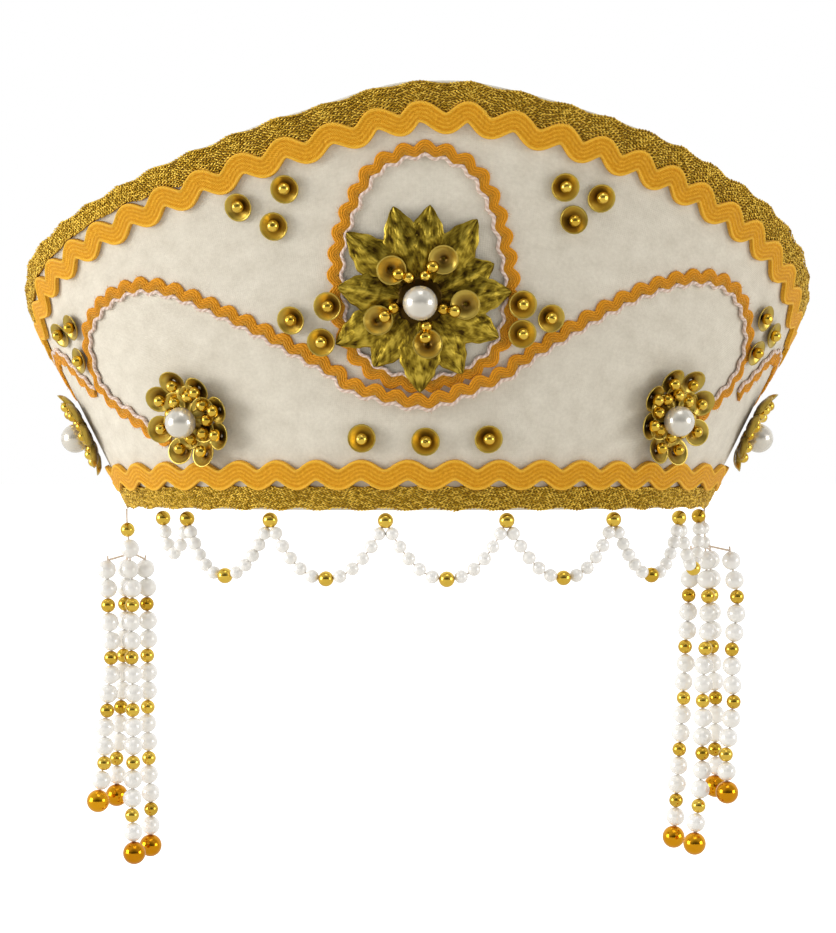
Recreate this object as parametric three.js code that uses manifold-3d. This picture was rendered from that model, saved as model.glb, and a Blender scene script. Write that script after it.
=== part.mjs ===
// Kokoshnik headdress: a tall white cloth band with orange rick-rack, gold braid,
// spangles, rosettes, a flower of stamped leaves, beaded swags and tassels.
// Millimetres, +Z up. The origin is the middle of the head opening, level with the hem,
// and the front faces -Y.
import * as THREE from 'three';
import { mergeVertices } from 'three/addons/utils/BufferGeometryUtils.js';
import Module from 'manifold-3d';

const wasm = await Module();
wasm.setup();

// Driving sizes
const hemHalfWidth = 91; // from the middle to the side of the hem
const hemFrontDepth = 68; // from the widest line to the front of the hem
const flareHeight = 170; // height above the hem at which the plan would be twice as large
const flareAhead = 40; // the plan grows about a point this far ahead of the widest line
const crownHeight = 121; // hem to the top over the forehead
const halfWrap = 112; // degrees from the front to each open end of the band
const wallThickness = 3; // stiffened felt between two layers of cloth
const gap = 0.3; // clearance between neighbouring pieces
const wideWave = 13.4; // one wave of the broad rick-rack
const narrowWave = 7; // one wave of the narrow rick-rack
const narrowWidth = 3.4;
const narrowSwing = 0.9; // half the height of its wave
const braidThickness = 1.2;
const seat = 0.4; // from the cloth to the foot of a trim or a spangle
const cupDepth = 1.3; // height of a cup sequin's rim
const sequinDiameter = 8.2;
const flowerPearl = 10.2;
const rosettePearl = 9.2;
const rosetteDiameter = 27;
const rosetteThickness = 0.8; // sequins that overlap in a ring
const leafLength = 28; // from the middle of the flower to a leaf's tip
const leafLayer = 0.5; // one layer of leaves over the other
const flowerBaseThickness = 2.2;
const swagPearl = 4;
const swagGold = 4.6;
const swagDrop = 17; // from a gold bead on the hem to the one at the bottom of a swag
const tasselPearl = 6;
const tasselEndBead = 7.2;
const beadSides = 10;

// Height of the crown's edge on each side, as shares of crownHeight, by share of halfWrap.
const edgeTable = [
  { wrap: 0, left: 1.0, right: 1.0 },
  { wrap: 0.045, left: 0.981, right: 1.0 },
  { wrap: 0.09, left: 0.949, right: 0.982 },
  { wrap: 0.143, left: 0.916, right: 0.954 },
  { wrap: 0.214, left: 0.866, right: 0.912 },
  { wrap: 0.286, left: 0.818, right: 0.862 },
  { wrap: 0.357, left: 0.77, right: 0.805 },
  { wrap: 0.429, left: 0.725, right: 0.752 },
  { wrap: 0.5, left: 0.678, right: 0.694 },
  { wrap: 0.571, left: 0.633, right: 0.637 },
  { wrap: 0.643, left: 0.574, right: 0.578 },
  { wrap: 0.8, left: 0.478, right: 0.48 },
  { wrap: 1.0, left: 0.4, right: 0.4 },
];

// Height at a signed share of the wrap, read from the table along a smooth curve.
function edgeHeight(wrap) {
  const side = wrap < 0 ? 'left' : 'right';
  const x = Math.min(Math.abs(wrap), 1);
  let i = 0;
  while (i < edgeTable.length - 2 && edgeTable[i + 1].wrap < x) i += 1;
  const slope = (k) => {
    if (k <= 0) return 0;
    const a = edgeTable[k - 1];
    const b = edgeTable[Math.min(k + 1, edgeTable.length - 1)];
    return (b[side] - a[side]) / (b.wrap - a.wrap);
  };
  const from = edgeTable[i];
  const to = edgeTable[i + 1];
  const span = to.wrap - from.wrap;
  const t = (x - from.wrap) / span;
  const share = from[side] * (2 * t ** 3 - 3 * t ** 2 + 1) + to[side] * (3 * t ** 2 - 2 * t ** 3)
    + slope(i) * span * (t ** 3 - 2 * t ** 2 + t) + slope(i + 1) * span * (t ** 3 - t ** 2);
  return share * crownHeight;
}

// The outer face of the crown is a cone over a flattened ellipse. A spot on it is a share
// of the wrap (-1 to 1) and a height in mm, and lift is the distance off the face.
function face(wrap, height) {
  const turn = THREE.MathUtils.degToRad(wrap * halfWrap);
  const grow = 1 + height / flareHeight;
  return new THREE.Vector3(
    hemHalfWidth * Math.sin(turn) * grow,
    -flareAhead + (flareAhead - hemFrontDepth * Math.cos(turn)) * grow,
    height,
  );
}

function faceAxes(wrap, height) {
  const around = face(wrap + 1e-3, height).sub(face(wrap - 1e-3, height)).multiplyScalar(500);
  const rise = face(wrap, height + 0.1).sub(face(wrap, height - 0.1)).multiplyScalar(5);
  const out = new THREE.Vector3().crossVectors(around, rise).normalize();
  return { around, rise, out };
}

function offFace(wrap, height, lift) {
  return face(wrap, height).addScaledVector(faceAxes(wrap, height).out, lift);
}

// Lift of a piece's foot: 0 lies on the cloth and 1 lies over a trim that lies on the cloth.
function liftOver(over) {
  return seat + over * (braidThickness + seat);
}

// Moves a spot along the face by a distance in a direction that lies in the face.
function slide(spot, direction, distance) {
  const { around, rise } = faceAxes(spot.wrap, spot.height);
  const aa = around.dot(around);
  const ar = around.dot(rise);
  const rr = rise.dot(rise);
  const da = direction.dot(around) * distance;
  const dr = direction.dot(rise) * distance;
  const det = aa * rr - ar * ar;
  return {
    wrap: spot.wrap + (da * rr - dr * ar) / det,
    height: spot.height + (dr * aa - da * ar) / det,
  };
}

// Places a piece on the face: its own Z points away from the cloth and its Y up the wall.
function settle(mesh, spot, lift, spin = 0) {
  const { around, out } = faceAxes(spot.wrap, spot.height);
  const across = around.clone().normalize();
  const up = new THREE.Vector3().crossVectors(out, across);
  mesh.quaternion.setFromRotationMatrix(new THREE.Matrix4().makeBasis(across, up, out));
  mesh.rotateZ(spin);
  mesh.position.copy(offFace(spot.wrap, spot.height, lift));
  return mesh;
}

// A closed body through rings of equal length; a loop has no end caps.
function throughRings(rings, loop = false) {
  const count = rings[0].length;
  const positions = rings.flat().flatMap((p) => [p.x, p.y, p.z]);
  const index = [];
  const last = loop ? rings.length : rings.length - 1;
  for (let i = 0; i < last; i += 1) {
    const a = i * count;
    const b = ((i + 1) % rings.length) * count;
    for (let j = 0; j < count; j += 1) {
      const k = (j + 1) % count;
      index.push(a + j, a + k, b + k, a + j, b + k, b + j);
    }
  }
  if (!loop) {
    const end = (rings.length - 1) * count;
    for (let j = 1; j < count - 1; j += 1) {
      index.push(0, j + 1, j, end, end + j, end + j + 1);
    }
  }
  const geometry = new THREE.BufferGeometry();
  geometry.setAttribute('position', new THREE.Float32BufferAttribute(positions, 3));
  geometry.setIndex(index);
  geometry.computeVertexNormals();
  return geometry;
}

// Joins closed geometries into one body.
function fuse(geometries) {
  const solids = geometries.map((geometry) => {
    const bare = geometry.clone();
    bare.deleteAttribute('normal');
    bare.deleteAttribute('uv');
    const merged = mergeVertices(bare, 1e-4);
    return new wasm.Manifold(new wasm.Mesh({
      numProp: 3,
      vertProperties: new Float32Array(merged.attributes.position.array),
      triVerts: new Uint32Array(merged.index.array),
    }));
  });
  const joined = solids.reduce((all, next) => all.add(next)).getMesh();
  const geometry = new THREE.BufferGeometry();
  geometry.setAttribute('position', new THREE.Float32BufferAttribute(joined.vertProperties, 3));
  geometry.setIndex(Array.from(joined.triVerts));
  geometry.computeVertexNormals();
  return geometry;
}

// A turned body about Z from a profile of radius and height.
function turned(profile, sides) {
  const points = profile.map(([radius, height]) => new THREE.Vector2(radius, height));
  return new THREE.LatheGeometry(points, sides).rotateX(Math.PI / 2);
}

function roundBead(diameter, sides = beadSides) {
  const r = diameter / 2;
  return turned([[0, -r], [r * 0.8, -r * 0.58], [r, 0], [r * 0.8, r * 0.58], [0, r]], sides);
}

const cloth = new THREE.MeshStandardMaterial({ color: '#efeae0', roughness: 0.95 });
const orangeBraid = new THREE.MeshStandardMaterial({ color: '#eda215', roughness: 0.9 });
const goldBraid = new THREE.MeshStandardMaterial({ color: '#b8921f', roughness: 0.45, metalness: 0.6 });
const gold = new THREE.MeshStandardMaterial({ color: '#c8a53c', roughness: 0.25, metalness: 1 });
const leafGold = new THREE.MeshStandardMaterial({ color: '#a89a2c', roughness: 0.35, metalness: 0.9 });
const pearl = new THREE.MeshStandardMaterial({ color: '#f1eee8', roughness: 0.25 });

const headdress = new THREE.Group();

function add(name, geometry, material) {
  const mesh = new THREE.Mesh(geometry, material);
  mesh.name = name;
  headdress.add(mesh);
  return mesh;
}

// Crown: the wall from one open end round the front to the other.
const crownSteps = 40;
const crownRings = [];
for (let i = 0; i <= crownSteps; i += 1) {
  const wrap = (2 * i) / crownSteps - 1;
  const top = edgeHeight(wrap);
  crownRings.push([
    offFace(wrap, 0, -wallThickness),
    offFace(wrap, top, -wallThickness),
    offFace(wrap, top, 0),
    offFace(wrap, 0, 0),
  ]);
}
add('crown_wall', throughRings(crownRings), cloth);

// Spots at equal distances along a path over the face.
function pace(path, stepLength, whole = 1) {
  const samples = 600;
  const spots = [];
  let length = 0;
  for (let i = 0; i <= samples; i += 1) {
    const spot = path(i / samples);
    const place = face(spot.wrap, spot.height);
    if (i > 0) length += place.distanceTo(spots[i - 1].place);
    spots.push({ ...spot, place, length });
  }
  const steps = Math.max(whole, Math.round(length / stepLength / whole) * whole);
  const paced = [];
  let k = 0;
  for (let i = 0; i <= steps; i += 1) {
    const target = (length * i) / steps;
    while (k < samples - 1 && spots[k + 1].length < target) k += 1;
    const t = (target - spots[k].length) / (spots[k + 1].length - spots[k].length);
    paced.push({
      wrap: spots[k].wrap + (spots[k + 1].wrap - spots[k].wrap) * t,
      height: spots[k].height + (spots[k + 1].height - spots[k].height) * t,
      lift: spots[k].lift + (spots[k + 1].lift - spots[k].lift) * t,
    });
  }
  return paced;
}

// A wavy ribbon on the face: the spots are half a wave apart, each pushed to one side of
// the path and then to the other. A domed ribbon rises to a ridge along its middle.
function wavyRibbon(spots, { width, swing, aside = 0, loop = false, domed = false }) {
  const count = loop ? spots.length - 1 : spots.length;
  const rings = [];
  for (let i = 0; i < count; i += 1) {
    const before = spots[i > 0 ? i - 1 : loop ? count - 1 : 0];
    const after = spots[i < spots.length - 1 ? i + 1 : i];
    const along = face(after.wrap, after.height).sub(face(before.wrap, before.height)).normalize();
    const { out } = faceAxes(spots[i].wrap, spots[i].height);
    const side = new THREE.Vector3().crossVectors(out, along).normalize();
    const middle = aside + (i % 2 ? swing : -swing);
    const { lift } = spots[i];
    const low = slide(spots[i], side, middle - width / 2);
    const high = slide(spots[i], side, middle + width / 2);
    const ridge = slide(spots[i], side, middle);
    rings.push(domed ? [
      offFace(low.wrap, low.height, lift),
      offFace(high.wrap, high.height, lift),
      offFace(ridge.wrap, ridge.height, lift + braidThickness),
    ] : [
      offFace(low.wrap, low.height, lift),
      offFace(high.wrap, high.height, lift),
      offFace(high.wrap, high.height, lift + braidThickness),
      offFace(low.wrap, low.height, lift + braidThickness),
    ]);
  }
  return throughRings(rings, loop);
}

// Broad braids: one pair below the crown's edge and one above the hem, wave in wave.
// By shares of wideWave: centre is the distance from the edge or the hem, and swing is half
// the wave's height.
const broadBraids = [
  { name: 'top_gold_braid', at: 'edge', centre: 0.306, width: 0.343, swing: 0.119, material: goldBraid },
  { name: 'top_rickrack', at: 'edge', centre: 0.761, width: 0.373, swing: 0.149, material: orangeBraid },
  { name: 'hem_rickrack', at: 'hem', centre: 0.806, width: 0.373, swing: 0.149, material: orangeBraid },
  { name: 'hem_gold_braid', at: 'hem', centre: 0.328, width: 0.2985, swing: 0.112, material: goldBraid },
];
const braidReach = 0.985; // share of the wrap that the braids cover
for (const braid of broadBraids) {
  const rim = pace((t) => {
    const wrap = (2 * t - 1) * braidReach;
    return { wrap, height: braid.at === 'edge' ? edgeHeight(wrap) : 0, lift: gap + 0.2 };
  }, wideWave / 2);
  add(braid.name, wavyRibbon(rim, {
    width: braid.width * wideWave,
    swing: braid.swing * wideWave,
    aside: (braid.at === 'edge' ? -1 : 1) * braid.centre * wideWave,
  }), braid.material);
}

// Paths of the narrow trim, by shares of halfWrap and crownHeight. The scroll lies over the
// oval where the two meet.
const ovalTable = [
  { wrap: 0.008, height: 0.847 },
  { wrap: -0.0383, height: 0.813 },
  { wrap: -0.0604, height: 0.755 },
  { wrap: -0.0868, height: 0.635 },
  { wrap: -0.0942, height: 0.52 },
  { wrap: -0.088, height: 0.4 },
  { wrap: -0.054, height: 0.328 },
  { wrap: 0.01, height: 0.302 },
  { wrap: 0.07, height: 0.33 },
  { wrap: 0.106, height: 0.395 },
  { wrap: 0.1125, height: 0.51 },
  { wrap: 0.097, height: 0.64 },
  { wrap: 0.0779, height: 0.74 },
  { wrap: 0.0523, height: 0.812 },
];
const scrollTable = [
  { wrap: -0.408, height: 0.172 },
  { wrap: -0.441, height: 0.188 },
  { wrap: -0.476, height: 0.226 },
  { wrap: -0.52, height: 0.27 },
  { wrap: -0.539, height: 0.32 },
  { wrap: -0.53, height: 0.37 },
  { wrap: -0.511, height: 0.43 },
  { wrap: -0.466, height: 0.487 },
  { wrap: -0.41, height: 0.53 },
  { wrap: -0.354, height: 0.549 },
  { wrap: -0.3, height: 0.5275 },
  { wrap: -0.2125, height: 0.4485 },
  { wrap: -0.13, height: 0.361 },
  { wrap: -0.06, height: 0.288, over: 1 },
  { wrap: 0.01, height: 0.264, over: 1 },
  { wrap: 0.077, height: 0.302, over: 1 },
  { wrap: 0.162, height: 0.397 },
  { wrap: 0.245, height: 0.497 },
  { wrap: 0.288, height: 0.537 },
  { wrap: 0.336, height: 0.564 },
  { wrap: 0.386, height: 0.568 },
  { wrap: 0.437, height: 0.541 },
  { wrap: 0.482, height: 0.487 },
  { wrap: 0.516, height: 0.427 },
  { wrap: 0.531, height: 0.373 },
  { wrap: 0.526, height: 0.315 },
  { wrap: 0.503, height: 0.271 },
  { wrap: 0.47, height: 0.228 },
];
const sideTable = [
  { wrap: 0.566, height: 0.29 },
  { wrap: 0.6, height: 0.335 },
  { wrap: 0.637, height: 0.385 },
  { wrap: 0.68, height: 0.392 },
  { wrap: 0.73, height: 0.37 },
  { wrap: 0.785, height: 0.33 },
  { wrap: 0.84, height: 0.27 },
  { wrap: 0.89, height: 0.21 },
  { wrap: 0.955, height: 0.19 },
];

function through(table, side = 1, loop = false) {
  const knots = table.map((row) => new THREE.Vector3(
    row.wrap * side * 2,
    row.height,
    row.over ?? 0,
  ));
  const curve = new THREE.CatmullRomCurve3(knots, loop);
  return (t) => {
    const p = curve.getPoint(loop ? t % 1 : t);
    return { wrap: p.x / 2, height: p.y * crownHeight, lift: liftOver(p.z) };
  };
}

const narrow = { width: narrowWidth, swing: narrowSwing, domed: true };
add('oval_trim', wavyRibbon(pace(through(ovalTable, 1, true), narrowWave / 2, 2), {
  ...narrow, loop: true,
}), orangeBraid);
add('scroll_trim', wavyRibbon(pace(through(scrollTable), narrowWave / 2), narrow), orangeBraid);
add('side_trim_left', wavyRibbon(pace(through(sideTable, -1), narrowWave / 2), narrow), orangeBraid);
add('side_trim_right', wavyRibbon(pace(through(sideTable), narrowWave / 2), narrow), orangeBraid);

// The flower's middle, and a spot beside it by distances across and up the face.
const flowerSpot = { wrap: 0.0036, height: 0.4985 * crownHeight };
const flowerAxes = faceAxes(flowerSpot.wrap, flowerSpot.height);
const flowerAcross = flowerAxes.around.clone().normalize();
const flowerUp = new THREE.Vector3().crossVectors(flowerAxes.out, flowerAcross);
function besideFlower(x, y) {
  return slide(slide(flowerSpot, flowerAcross, x), flowerUp, y);
}

// Cup sequin: a thin dish with a raised rim.
function cupSequin() {
  const r = sequinDiameter / 2;
  return turned([[0, 0], [r, cupDepth], [0, cupDepth * 0.46]], 8);
}

// Spangles in threes round the crown, by shares of halfWrap and crownHeight. Some lie over
// the edge of a trim.
const spangleTable = [
  { name: 'top_left', wrap: [-0.1375, -0.192, -0.156], height: [0.76, 0.722, 0.675], over: [0, 0, 0] },
  { name: 'top_right', wrap: [0.1545, 0.197, 0.1705], height: [0.765, 0.743, 0.688], over: [0, 0, 0] },
  { name: 'middle_left', wrap: [-0.1536], height: [0.456], over: [0] },
  { name: 'middle_right', wrap: [0.1634], height: [0.461], over: [0] },
  { name: 'low', wrap: [-0.0786, 0.0125, 0.1027], height: [0.175, 0.168, 0.175], over: [0, 0, 0] },
  { name: 'side_left', wrap: [-0.532, -0.582, -0.552], height: [0.462, 0.448, 0.38], over: [0, 0, 0.125] },
  { name: 'side_right', wrap: [0.527, 0.58, 0.545], height: [0.484, 0.446, 0.4], over: [0, 0, 0.125] },
];
// Two on each side beside the leaf tips, by shares of leafLength from the flower's middle.
const besideTable = [
  { name: 'middle_left', x: [-0.925, -0.999], y: [-0.048, -0.410], over: 0.8125 },
  { name: 'middle_right', x: [1.037, 1.038], y: [-0.026, -0.327], over: 0.8125 },
];
function addSpangle(name, spot, over) {
  settle(add(`spangle_${name}`, cupSequin(), gold), spot, liftOver(over));
}
for (const group of spangleTable) {
  group.wrap.forEach((wrap, i) => {
    addSpangle(`${group.name}_${i + 1}`, { wrap, height: group.height[i] * crownHeight }, group.over[i]);
  });
}
for (const pair of besideTable) {
  pair.x.forEach((x, i) => {
    addSpangle(`${pair.name}_${i + 2}`, besideFlower(x * leafLength, pair.y[i] * leafLength), pair.over);
  });
}

// Rosette: cup sequins in a ring, overlapped into one scalloped collar with a raised rim.
function rosetteCollar() {
  const petals = 8;
  const perPetal = 3;
  const rings = [];
  for (let i = 0; i < petals * perPetal; i += 1) {
    const turn = (2 * Math.PI * (i + 0.5)) / (petals * perPetal);
    const onPetal = i % perPetal === 1;
    const rim = (rosetteDiameter / 2) * (onPetal ? 1 : 0.9);
    const hole = rosetteDiameter * 0.0815;
    const low = cupDepth * (onPetal ? 1.23 : 0.46);
    const spoke = (r, z) => new THREE.Vector3(r * Math.cos(turn), r * Math.sin(turn), z);
    rings.push([
      spoke(hole, 0),
      spoke(hole, rosetteThickness),
      spoke(rim, low + rosetteThickness),
      spoke(rim, low),
    ]);
  }
  return throughRings(rings, true);
}
// The front ones cover a trim's end.
const rosetteTable = [
  { name: 'front_left', wrap: -0.3413, height: 0.232, over: 0.4375 },
  { name: 'front_right', wrap: 0.399, height: 0.237, over: 0.3125 },
  { name: 'side_left', wrap: -0.75, height: 0.21, over: 0.3125 },
  { name: 'side_right', wrap: 0.75, height: 0.21, over: 0.3125 },
];
for (const row of rosetteTable) {
  const spot = { wrap: row.wrap, height: row.height * crownHeight };
  const collar = add(`rosette_${row.name}`, rosetteCollar(), gold);
  const foot = liftOver(row.over);
  settle(collar, spot, foot, Math.PI / 8);
  const bead = add(`rosette_pearl_${row.name}`, roundBead(rosettePearl), pearl);
  settle(bead, spot, foot + seat + rosettePearl / 2);
}

// Flower: folded leaves round a base, each leaf a ridge that falls to its edges.
const leafTable = [
  { angle: 106, length: 0.99, layer: 0, tip: 0 },
  { angle: 84, length: 0.97, layer: 0, tip: 0 },
  { angle: 55, length: 1.01, layer: 0, tip: 0 },
  { angle: 27, length: 0.84, layer: 0, tip: 0 },
  { angle: 6, length: 0.93, layer: 1, tip: 0 },
  { angle: -25, length: 0.88, layer: 0, tip: 0.6 },
  { angle: -60, length: 0.86, layer: 0, tip: 0 },
  { angle: -90, length: 0.93, layer: 1, tip: 2 },
  { angle: -125, length: 0.82, layer: 0, tip: 0 },
  { angle: -153, length: 0.96, layer: 0, tip: 0.6 },
  { angle: 170, length: 0.84, layer: 1, tip: 0 },
  { angle: 137, length: 1.02, layer: 0, tip: 0 },
];
// Along a leaf, as shares of leafLength: the place, half the width and the height of the fold.
const leafSections = [
  { along: 0.24, half: 0.0536, fold: 0.05, over: 1.25 },
  { along: 0.6, half: 0.171, fold: 0.05, over: 1.125 },
  { along: 1.0, half: 0.018, fold: 0.0214, over: 1 },
];
function onFlower(x, y, lift) {
  const spot = besideFlower(x, y);
  return offFace(spot.wrap, spot.height, lift);
}
const leaves = leafTable.map((leaf) => {
  const turn = THREE.MathUtils.degToRad(leaf.angle);
  const rings = leafSections.map((section) => {
    const r = section.along * leaf.length * leafLength;
    const half = section.half * leafLength;
    const spot = (side, fold) => onFlower(
      r * Math.cos(turn) - side * Math.sin(turn),
      r * Math.sin(turn) + side * Math.cos(turn),
      liftOver(section.over) + fold * leafLength
        + (leaf.layer + leaf.tip * section.along ** 2) * leafLayer,
    );
    return [
      spot(-half, 0),
      spot(half, 0),
      spot(0, section.fold),
    ];
  });
  return throughRings(rings);
});
const flowerBase = turned([
  [0, 0],
  [leafLength * 0.268, 0],
  [leafLength * 0.232, flowerBaseThickness],
  [0, flowerBaseThickness],
], 12);
const baseHolder = settle(new THREE.Object3D(), flowerSpot, liftOver(1));
baseHolder.updateMatrix();
add('flower_leaves', fuse([flowerBase.applyMatrix4(baseHolder.matrix), ...leaves]), leafGold);
const flowerPearlLift = liftOver(1) + flowerBaseThickness + gap + flowerPearl / 2;
settle(add('flower_pearl', roundBead(flowerPearl), pearl), flowerSpot, flowerPearlLift);

// Five cup sequins on the leaves, by angle and distance from the middle of the flower, as a
// share of leafLength. layer is how far the leaves under one stand above the lower leaves.
const spokeTable = [
  { angle: 131, distance: 0.436, layer: 0.3 },
  { angle: 62, distance: 0.493, layer: 0 },
  { angle: -3, distance: 0.45, layer: 0.7 },
  { angle: -80, distance: 0.436, layer: 0.8 },
  { angle: 204, distance: 0.457, layer: 0.5 },
];
const ridgeLift = liftOver(1.125) + 0.05 * leafLength;
spokeTable.forEach((row, i) => {
  const turn = THREE.MathUtils.degToRad(row.angle);
  const distance = row.distance * leafLength;
  const spot = besideFlower(distance * Math.cos(turn), distance * Math.sin(turn));
  settle(add(`spoke_${i + 1}`, cupSequin(), gold), spot, ridgeLift + row.layer * leafLayer);
});

// Festoon: beaded swags from gold bead to gold bead under the hem. The pearls are drawn as
// one cord of their diameter, fused to the gold beads.
const hemBeadTable = [-0.532, -0.45, -0.256, -0.052, 0.151, 0.3625, 0.568, 0.75];
const hemBeadLow = -gap - swagGold / 2 - 0.1;
function underHem(wrap, height) {
  const place = offFace(wrap, 0, -wallThickness / 2);
  return new THREE.Vector3(place.x, place.y, height);
}
const cordSides = 8;
const cordOutline = new THREE.Shape(Array.from({ length: cordSides }, (_, k) => {
  const turn = (2 * Math.PI * k) / cordSides;
  return new THREE.Vector2(Math.cos(turn), Math.sin(turn)).multiplyScalar(swagPearl / 2);
}));
const fullSwag = 0.2; // share of the wrap spanned by a swag of the full drop
const swags = [];
for (let i = 0; i < hemBeadTable.length - 1; i += 1) {
  const from = hemBeadTable[i];
  const to = hemBeadTable[i + 1];
  const drop = swagDrop * Math.min(1, 0.35 + (0.65 * (to - from)) / fullSwag);
  const knots = [0, 0.12, 0.35, 0.5, 0.65, 0.88, 1].map((t) => underHem(
    from + (to - from) * t,
    hemBeadLow - drop * (1 - Math.abs(2 * t - 1) ** 2.2),
  ));
  const curve = new THREE.CatmullRomCurve3(knots);
  const swag = new THREE.ExtrudeGeometry(cordOutline, {
    steps: 5, bevelEnabled: false, extrudePath: curve,
  });
  swags.push(swag);
}
const hemBeads = hemBeadTable.map((wrap) => {
  const place = underHem(wrap, hemBeadLow);
  return turned([[0, -swagGold / 2], [swagGold / 2, -0.7], [swagGold / 2, 0.7], [0, swagGold / 2]], beadSides)
    .translate(place.x, place.y, place.z);
});
add('festoon', fuse([...hemBeads, ...swags]), gold);

// Tassels: four strings on each side, the long one first. It hangs by a thread from the hem at a share
// of the wrap. The others leave it below as many of its beads as skip says, side by side
// with it in a direction in degrees. lean is how far a string's foot stands aside from its
// top along X and Y, in pearls. beads names the beads from the top down: g a gold one, p a
// pearl and s a small pearl of the swags.
const threadLength = 4.4;
const tasselTable = [
  { name: 'left_long', hang: -0.7507, skip: 0, beads: 'gpppgppgppgppgppgp', lean: [0.1, -0.17] },
  { name: 'left_outer', hang: -0.7507, aside: 190, skip: 2, beads: 'ppgppgppgppgp', lean: [-0.6, -0.17] },
  { name: 'left_rear', hang: -0.7507, aside: 115, skip: 2, beads: 'ppgppgppgppgp', lean: [-0.63, 0.81] },
  { name: 'left_inner', hang: -0.7507, aside: 56, skip: 2, beads: 'ppgppgppgppgppgp', lean: [0.11, 1.36] },
  { name: 'right_long', hang: 0.781, skip: 0, beads: 'ssppgppgppgppgppgp', lean: [-0.4, -0.5] },
  { name: 'right_outer', hang: 0.781, aside: -22, skip: 2, beads: 'ppgppgppgppgp', lean: [0.6, -0.47] },
  { name: 'right_rear', hang: 0.781, aside: 69.5, skip: 2, beads: 'ppgppgppgppgp', lean: [0.62, 0.49] },
  { name: 'right_inner', hang: 0.781, aside: 131, skip: 2, beads: 'ppgppgppgppgppgp', lean: [-0.62, 0.95] },
];
const beadSize = { g: swagGold, p: tasselPearl, s: swagPearl };
const total = (sizes) => sizes.reduce((all, size) => all + size, 0);
let long; // the long string of the side being made
for (const row of tasselTable) {
  const sizes = Array.from(row.beads, (letter) => beadSize[letter]);
  const topHeight = -threadLength - (row.skip > 0 ? total(long.sizes.slice(0, row.skip)) : 0);
  const endTop = topHeight - total(sizes);
  const foot = endTop - tasselEndBead;
  const big = tasselEndBead / 2;
  const profile = [[0, foot], [big * 0.8, foot + big * 0.45], [big, foot + big * 1.1], [1, endTop]];
  let height = endTop;
  Array.from(sizes).reverse().forEach((size, i) => {
    profile.push([size / 2, height + size / 2]);
    height += size;
    if (i < sizes.length - 1) profile.push([1, height]);
  });
  if (row.skip === 0) profile.push([0.5, topHeight], [0.5, -gap - 0.1], [0, -gap - 0.1]);
  else profile.push([0, topHeight]);
  const top = offFace(row.hang, 0, -gap);
  if (row.skip > 0) {
    const turn = THREE.MathUtils.degToRad(row.aside);
    const beside = (topHeight - tasselPearl / 2 + threadLength) / (long.foot + threadLength);
    top.x += long.lean[0] * tasselPearl * beside + (tasselPearl + gap) * Math.cos(turn);
    top.y += long.lean[1] * tasselPearl * beside + (tasselPearl + gap) * Math.sin(turn);
  } else {
    long = { sizes, foot, lean: row.lean };
  }
  const string = turned(profile, beadSides);
  const places = string.attributes.position;
  for (let i = 0; i < places.count; i += 1) {
    const fall = (topHeight - places.getZ(i)) / (topHeight - foot);
    places.setX(i, places.getX(i) + top.x + row.lean[0] * tasselPearl * fall);
    places.setY(i, places.getY(i) + top.y + row.lean[1] * tasselPearl * fall);
  }
  add(`tassel_${row.name}`, string, pearl);
}

export default headdress;
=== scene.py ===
import math

import bmesh
import bpy
import numpy as np
from mathutils import Matrix, Quaternion, Vector, noise


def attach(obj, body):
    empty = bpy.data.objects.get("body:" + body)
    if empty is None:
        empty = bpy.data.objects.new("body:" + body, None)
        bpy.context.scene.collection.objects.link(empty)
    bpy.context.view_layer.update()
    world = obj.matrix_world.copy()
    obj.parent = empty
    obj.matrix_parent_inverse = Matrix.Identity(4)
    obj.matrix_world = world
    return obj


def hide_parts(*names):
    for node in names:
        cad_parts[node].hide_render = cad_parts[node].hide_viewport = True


# Kokoshnik headdress, in metres, with the front towards -Y and the hem at height 0.
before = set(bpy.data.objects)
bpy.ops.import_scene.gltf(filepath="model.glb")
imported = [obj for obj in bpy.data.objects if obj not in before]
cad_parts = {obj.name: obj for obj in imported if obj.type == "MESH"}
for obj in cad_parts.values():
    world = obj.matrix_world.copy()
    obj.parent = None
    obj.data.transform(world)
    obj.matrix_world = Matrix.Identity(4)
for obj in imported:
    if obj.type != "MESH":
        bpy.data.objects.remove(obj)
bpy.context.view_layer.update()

# Camera
# It stands level with the lower part of the crown, 0.7 m before it, with a long lens.
camera_data = bpy.data.cameras.new("camera")
camera_data.sensor_width = 36
camera_data.lens = 84.9
camera = bpy.data.objects.new("camera", camera_data)
camera.location = (0.0003, -0.704, 0.013)
camera.rotation_euler = (math.pi / 2, 0, 0)
bpy.context.scene.collection.objects.link(camera)
bpy.context.scene.camera = camera
bpy.context.scene.view_settings.view_transform = "Standard"


# Studio
# A pale matt floor without a visible horizon, soft light from the left and above, and a
# weaker fill from the right.
def linear(hex_colour):
    """A colour written as sRGB hex, in the linear values that shaders use."""
    channels = [int(hex_colour[i:i + 2], 16) / 255 for i in (1, 3, 5)]
    scaled = [c / 12.92 if c <= 0.04045 else ((c + 0.055) / 1.055) ** 2.4 for c in channels]
    return (*scaled, 1.0)


def add_node(tree, kind, inputs=None, stops=(), **settings):
    """Adds a node with its settings. inputs gives a value or a link for each socket, and
    stops the place and the hex colour of each stop of a ramp."""
    node = tree.nodes.new(kind)
    for key, value in settings.items():
        setattr(node, key, value)
    for socket, value in (inputs or {}).items():
        if isinstance(value, bpy.types.NodeSocket):
            tree.links.new(value, node.inputs[socket])
        else:
            node.inputs[socket].default_value = value
    for k, (place, colour) in enumerate(stops):
        elements = node.color_ramp.elements
        stop = elements[k] if k < 2 else elements.new(place)
        stop.position = place
        stop.color = linear(colour)
    return node


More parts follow.
